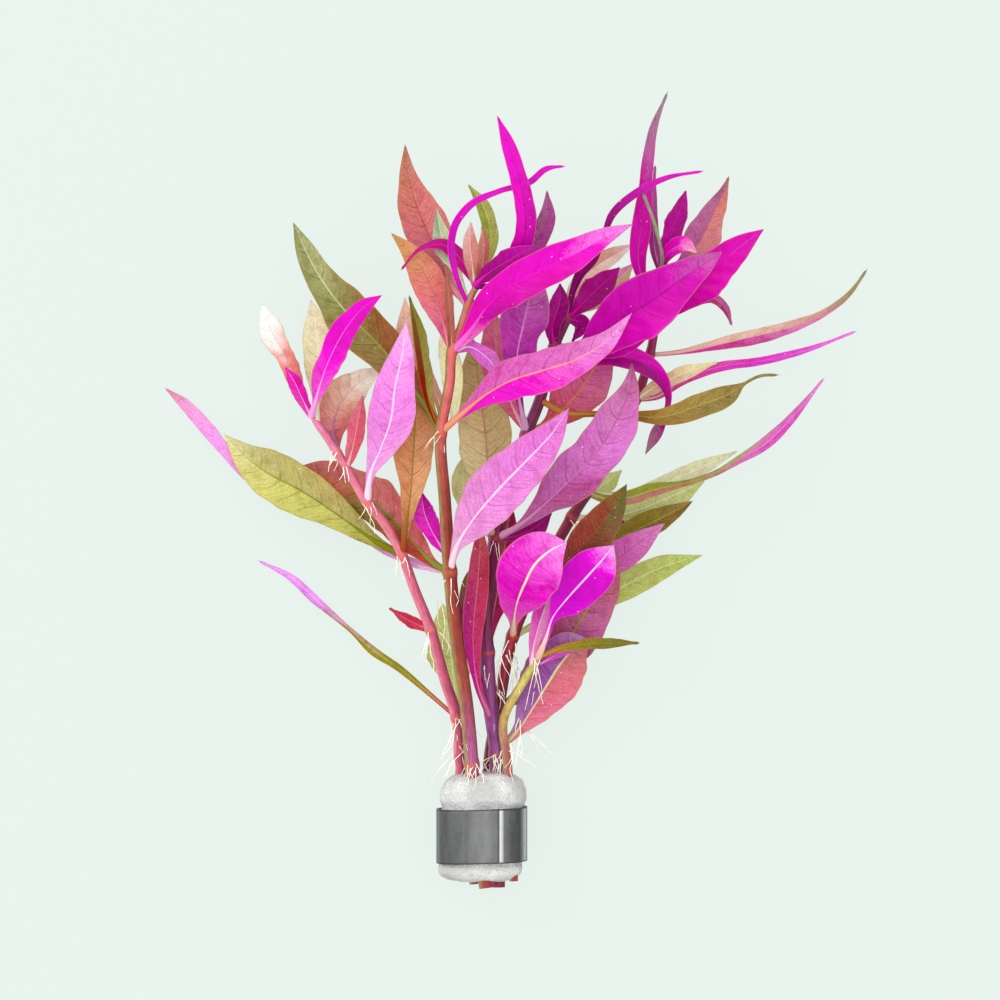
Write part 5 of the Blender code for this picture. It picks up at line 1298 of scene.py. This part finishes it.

# %% [markdown]
# ## The metal band
#
# A strip of soft grey sheet metal is bent once round the foam and its ends are lapped. It is dull, with
# fine scratches along it and a few dark pits. Its soft creases, where it was bent by hand, its folds and
# its hollows are painted in as painted highlights and painted shade.

# %% The band
STRIP_THICK = 0.6 * MM
STRIP_HALF_WIDTH = 11.3 * MM
STRIP_DEPTH = 21.4 * MM
STRIP_FLAT = 6.0 * MM
STRIP_LEAN = math.radians(1.6)
STRIP_START, STRIP_LAP = math.radians(40), math.radians(32)
STRIP_LAP_GAP = 0.15 * MM
STRIP_LAP_RISE = 0.25  # turn in radians over which the outer end climbs onto the inner one
STRIP_TOP, STRIP_BOTTOM = 807.5, 861.5


# Painted highlights on the folds and on the edge of the lapped end, and painted shade in the hollows, by
# their share of the way round the band
BAND_PAINTED_LIGHT = {0.07: "5C5C5C", 0.12: "707070", 0.17: "585858", 0.22: "6C6C6C", 0.27: "5A5A5A", 0.290: "646464",
              0.305: "8E8E8E", 0.314: "8E8E8E", 0.324: "585858",
              0.42: "8A8A8A", 0.60: "949494", 0.74: "868686", 0.84: "707070", 0.868: "F0F0F0",
              0.895: "8C8C8C", 0.925: "303030", 0.955: "4C4C4C", 0.975: "707070", 0.986: "686868",
              0.991: "E8E8E8", 1.0: "E8E8E8"}


def band_metal():
    """Soft dull sheet metal, as of a plant weight: grey and rolled along its length, with painted highlights
    and painted shade on its creases, folds and hollows.
    """
    finish, tree = new_finish("dull_rolled_sheet_metal")
    spot = add_node(tree, "TexCoord")
    chart = add_node(tree, "UVMap", uv_map="UVMap")
    rolled = add_node(tree, "Mapping", {"Vector": chart.outputs["UV"]}, {"Scale": (6.0, 160.0, 1.0)})
    lines = add_node(tree, "TexNoise", {"Vector": rolled.outputs["Vector"]}, {"Scale": 1.0, "Detail": 4.0})
    clouds = add_node(tree, "TexNoise", {"Vector": spot.outputs["Object"]},
                      {"Scale": 1 / (1.6 * MM), "Detail": 8.0, "Roughness": 0.78})
    pits = add_node(tree, "TexVoronoi", {"Vector": spot.outputs["Object"]}, {"Scale": 1 / (3.2 * MM)})
    upright = add_node(tree, "Mapping", {"Vector": chart.outputs["UV"]}, {"Scale": (46.0, 1.5, 1.0)})
    creases = add_node(tree, "TexNoise", {"Vector": upright.outputs["Vector"]}, {"Scale": 1.0, "Detail": 3.0})
    body = mix(tree, between(tree, clouds.outputs["Fac"], 0.35, 0.65), linear("545454"), linear("7C7C7C"))
    # painted light and shade of the soft creases: lighter and darker bands across the strip
    crease_light = mix(tree, between(tree, creases.outputs["Fac"], 0.35, 0.65), linear("565656"), linear("787878"))
    body = mix(tree, 0.6, body, crease_light)
    axes = add_node(tree, "SeparateXYZ", {"Vector": chart.outputs["UV"]})
    # painted highlights and painted shade, placed round the band
    painted_light = ramp(tree, axes.outputs["X"], " ".join(BAND_PAINTED_LIGHT.values()), list(BAND_PAINTED_LIGHT))
    body = mix(tree, 0.55, body, painted_light)
    tone = mix(tree, lines.outputs["Fac"], linear("606060"), linear("A0A0A0"))
    body = mix(tree, 0.4, body, tone, "SOFT_LIGHT")
    # painted shade: the strip darkens along its upper and lower edges
    for start, end in ((0.965, 0.99), (0.035, 0.01)):
        body = mix(tree, between(tree, axes.outputs["Y"], start, end), body, linear("3C3C3C"))
    body = mix(tree, between(tree, pits.outputs["Distance"], 0.075, 0.04), body, linear("303030"))
    rough = add_node(tree, "MapRange", {"Value": clouds.outputs["Fac"]}, {"To Min": 0.32, "To Max": 0.55})
    height = sum_of(tree, "MULTIPLY_ADD", lines.outputs["Fac"], 0.25,
                    sum_of(tree, "MULTIPLY", clouds.outputs["Fac"], 0.5))
    bump = add_node(tree, "Bump", {"Height": height}, {"Strength": 0.35, "Distance": 0.15 * MM})
    skin = add_node(tree, "BsdfPrincipled", {"Base Color": body, "Roughness": rough.outputs["Result"],
                                             "Normal": bump.outputs["Normal"]}, {"Metallic": 0.85})
    add_node(tree, "OutputMaterial", {"Surface": skin.outputs["BSDF"]})
    return finish


BAND_ROUND, BAND_UP = 260, 14
bpy.ops.object.select_all(action="DESELECT")
bpy.ops.mesh.primitive_grid_add(x_subdivisions=BAND_ROUND, y_subdivisions=BAND_UP, size=1)
band = bpy.context.object
band.name = "metal_band"
points = points_of(band)
share, level = points[:, 0] + 0.5, points[:, 1] + 0.5
low, high = [place(HOLDER_MIDDLE[0], y, (FOAM_BACK + FOAM_FRONT) / 2).y for y in (STRIP_BOTTOM, STRIP_TOP)]
whole = 2 * math.pi
bent = []
for at, up in zip(share, level):
    turn = STRIP_START + (whole + STRIP_LAP) * at
    lapped = min(1.0, max(0.0, (turn - whole - STRIP_START + STRIP_LAP_RISE) / STRIP_LAP_RISE))
    x, z = oval(turn, STRIP_HALF_WIDTH, STRIP_DEPTH / 2)
    if abs(x) < STRIP_FLAT and z < 0:
        z = -STRIP_DEPTH / 2
    length = math.hypot(x, z)
    out = 1 + ((STRIP_THICK + STRIP_LAP_GAP) * lapped - STRIP_THICK / 2) / length
    bent.append((foam_middle.x + x * out, low + (high - low) * up + x * math.tan(STRIP_LEAN),
                 STRIP_DEPTH / 2 + z * out))
move_points(band, np.array(bent))
apply_step(band, "SOLIDIFY", thickness=STRIP_THICK, offset=0)
apply_step(band, "BEVEL", width=0.12 * MM, segments=2, limit_method="ANGLE")
band.data.materials.append(band_metal())
select_only(band)
bpy.ops.object.shade_smooth_by_angle(angle=math.radians(35))
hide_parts("metal_strip")
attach(band, "root")
print("metal band:", len(band.data.polygons), "faces")

# %% [markdown]
# ## The water roots
#
# Fine cream-white roots grow from the joints, most of them just above the foam. Each is a hair about a
# quarter of a millimetre thick, which thins towards its end and wanders down beside the stem. They are
# drawn as one curve object with many lines and turned into a mesh.

# %% The roots
ROOT_RADIUS = 0.13 * MM
# joint: x, y in steps, height in mm, how many roots, how long in mm
ROOT_CLUMPS = [
    (337, 452, 26, 4, 5), (367, 502, 24, 5, 7), (402, 555, 21.5, 4, 6), (431, 630, 18.5, 5, 9),
    (457, 718, 14, 9, 12), (441, 432, 35, 5, 6), (450, 572, 27, 6, 9), (472, 765, 17, 16, 6),
    (527, 433, 25, 4, 4), (496, 538, 21, 5, 7), (487, 653, 16, 5, 8), (497, 755, 12, 18, 7),
    (513, 636, 12, 7, 14), (540, 573, 14, 3, 6), (572, 517, 16, 4, 6), (538, 658, 16, 5, 12),
    (508, 745, 14, 14, 9), (489, 765, 9, 12, 6), (463, 745, 13, 12, 9), (520, 720, 12, 7, 10),
    (436, 600, 18, 2, 14), (497, 690, 13, 6, 9), (503, 655, 13, 5, 10), (347, 468, 27, 3, 6),
]


def root_finish():
    """Young water roots: cream-white, damp and a little see-through."""
    finish, tree = new_finish("young_root")
    spot = add_node(tree, "TexCoord")
    clouds = add_node(tree, "TexNoise", {"Vector": spot.outputs["Object"]},
                      {"Scale": 1 / (2 * MM), "Detail": 3.0})
    body = mix(tree, between(tree, clouds.outputs["Fac"], 0.35, 0.65), linear("E4D0B0"), linear("FFFAF2"))
    skin = add_node(tree, "BsdfPrincipled", {"Base Color": body}, {"Roughness": 0.45})
    add_node(tree, "OutputMaterial", {"Surface": skin.outputs["BSDF"]})
    return finish


ROOT_POINTS = 10
hair = bpy.data.curves.new("water_roots", "CURVE")
hair.dimensions = "3D"
hair.bevel_depth = ROOT_RADIUS
hair.bevel_resolution = 1
hair.use_fill_caps = True
for x, y, height, count, length in ROOT_CLUMPS:
    for _ in range(count):
        off = chance.uniform((-5, -2, -1), (5, 3, 1.6))
        at = np.array(place(x + off[0], y + off[1], height + off[2]))
        heading = chance.normal((0.0, -0.9, 0.15), (0.5, 0.25, 0.35))
        stride = length * MM * chance.uniform(0.5, 1.3) / (ROOT_POINTS - 1)
        line = hair.splines.new("POLY")
        line.points.add(ROOT_POINTS - 1)
        for i, point in enumerate(line.points):
            point.co = (*at, 1)
            point.radius = chance.uniform(0.8, 1.2) * (1 - 0.6 * i / (ROOT_POINTS - 1))
            heading = heading * 0.92 + chance.normal((0.0, -0.10, 0.0), 0.13)
            at = at + stride * heading / np.linalg.norm(heading)
            at[2] = max(at[2], 2 * MM)
roots = bpy.data.objects.new("water_roots", hair)
bpy.context.scene.collection.objects.link(roots)
select_only(roots)
bpy.ops.object.convert(target="MESH")
roots = bpy.context.object
roots.data.materials.append(root_finish())
bpy.ops.object.shade_smooth()
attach(roots, "root")
print("roots:", len(roots.data.polygons), "faces")

# %% Put the models away
for model in (blade_model, rib_model, stem_model):
    bpy.data.objects.remove(model)
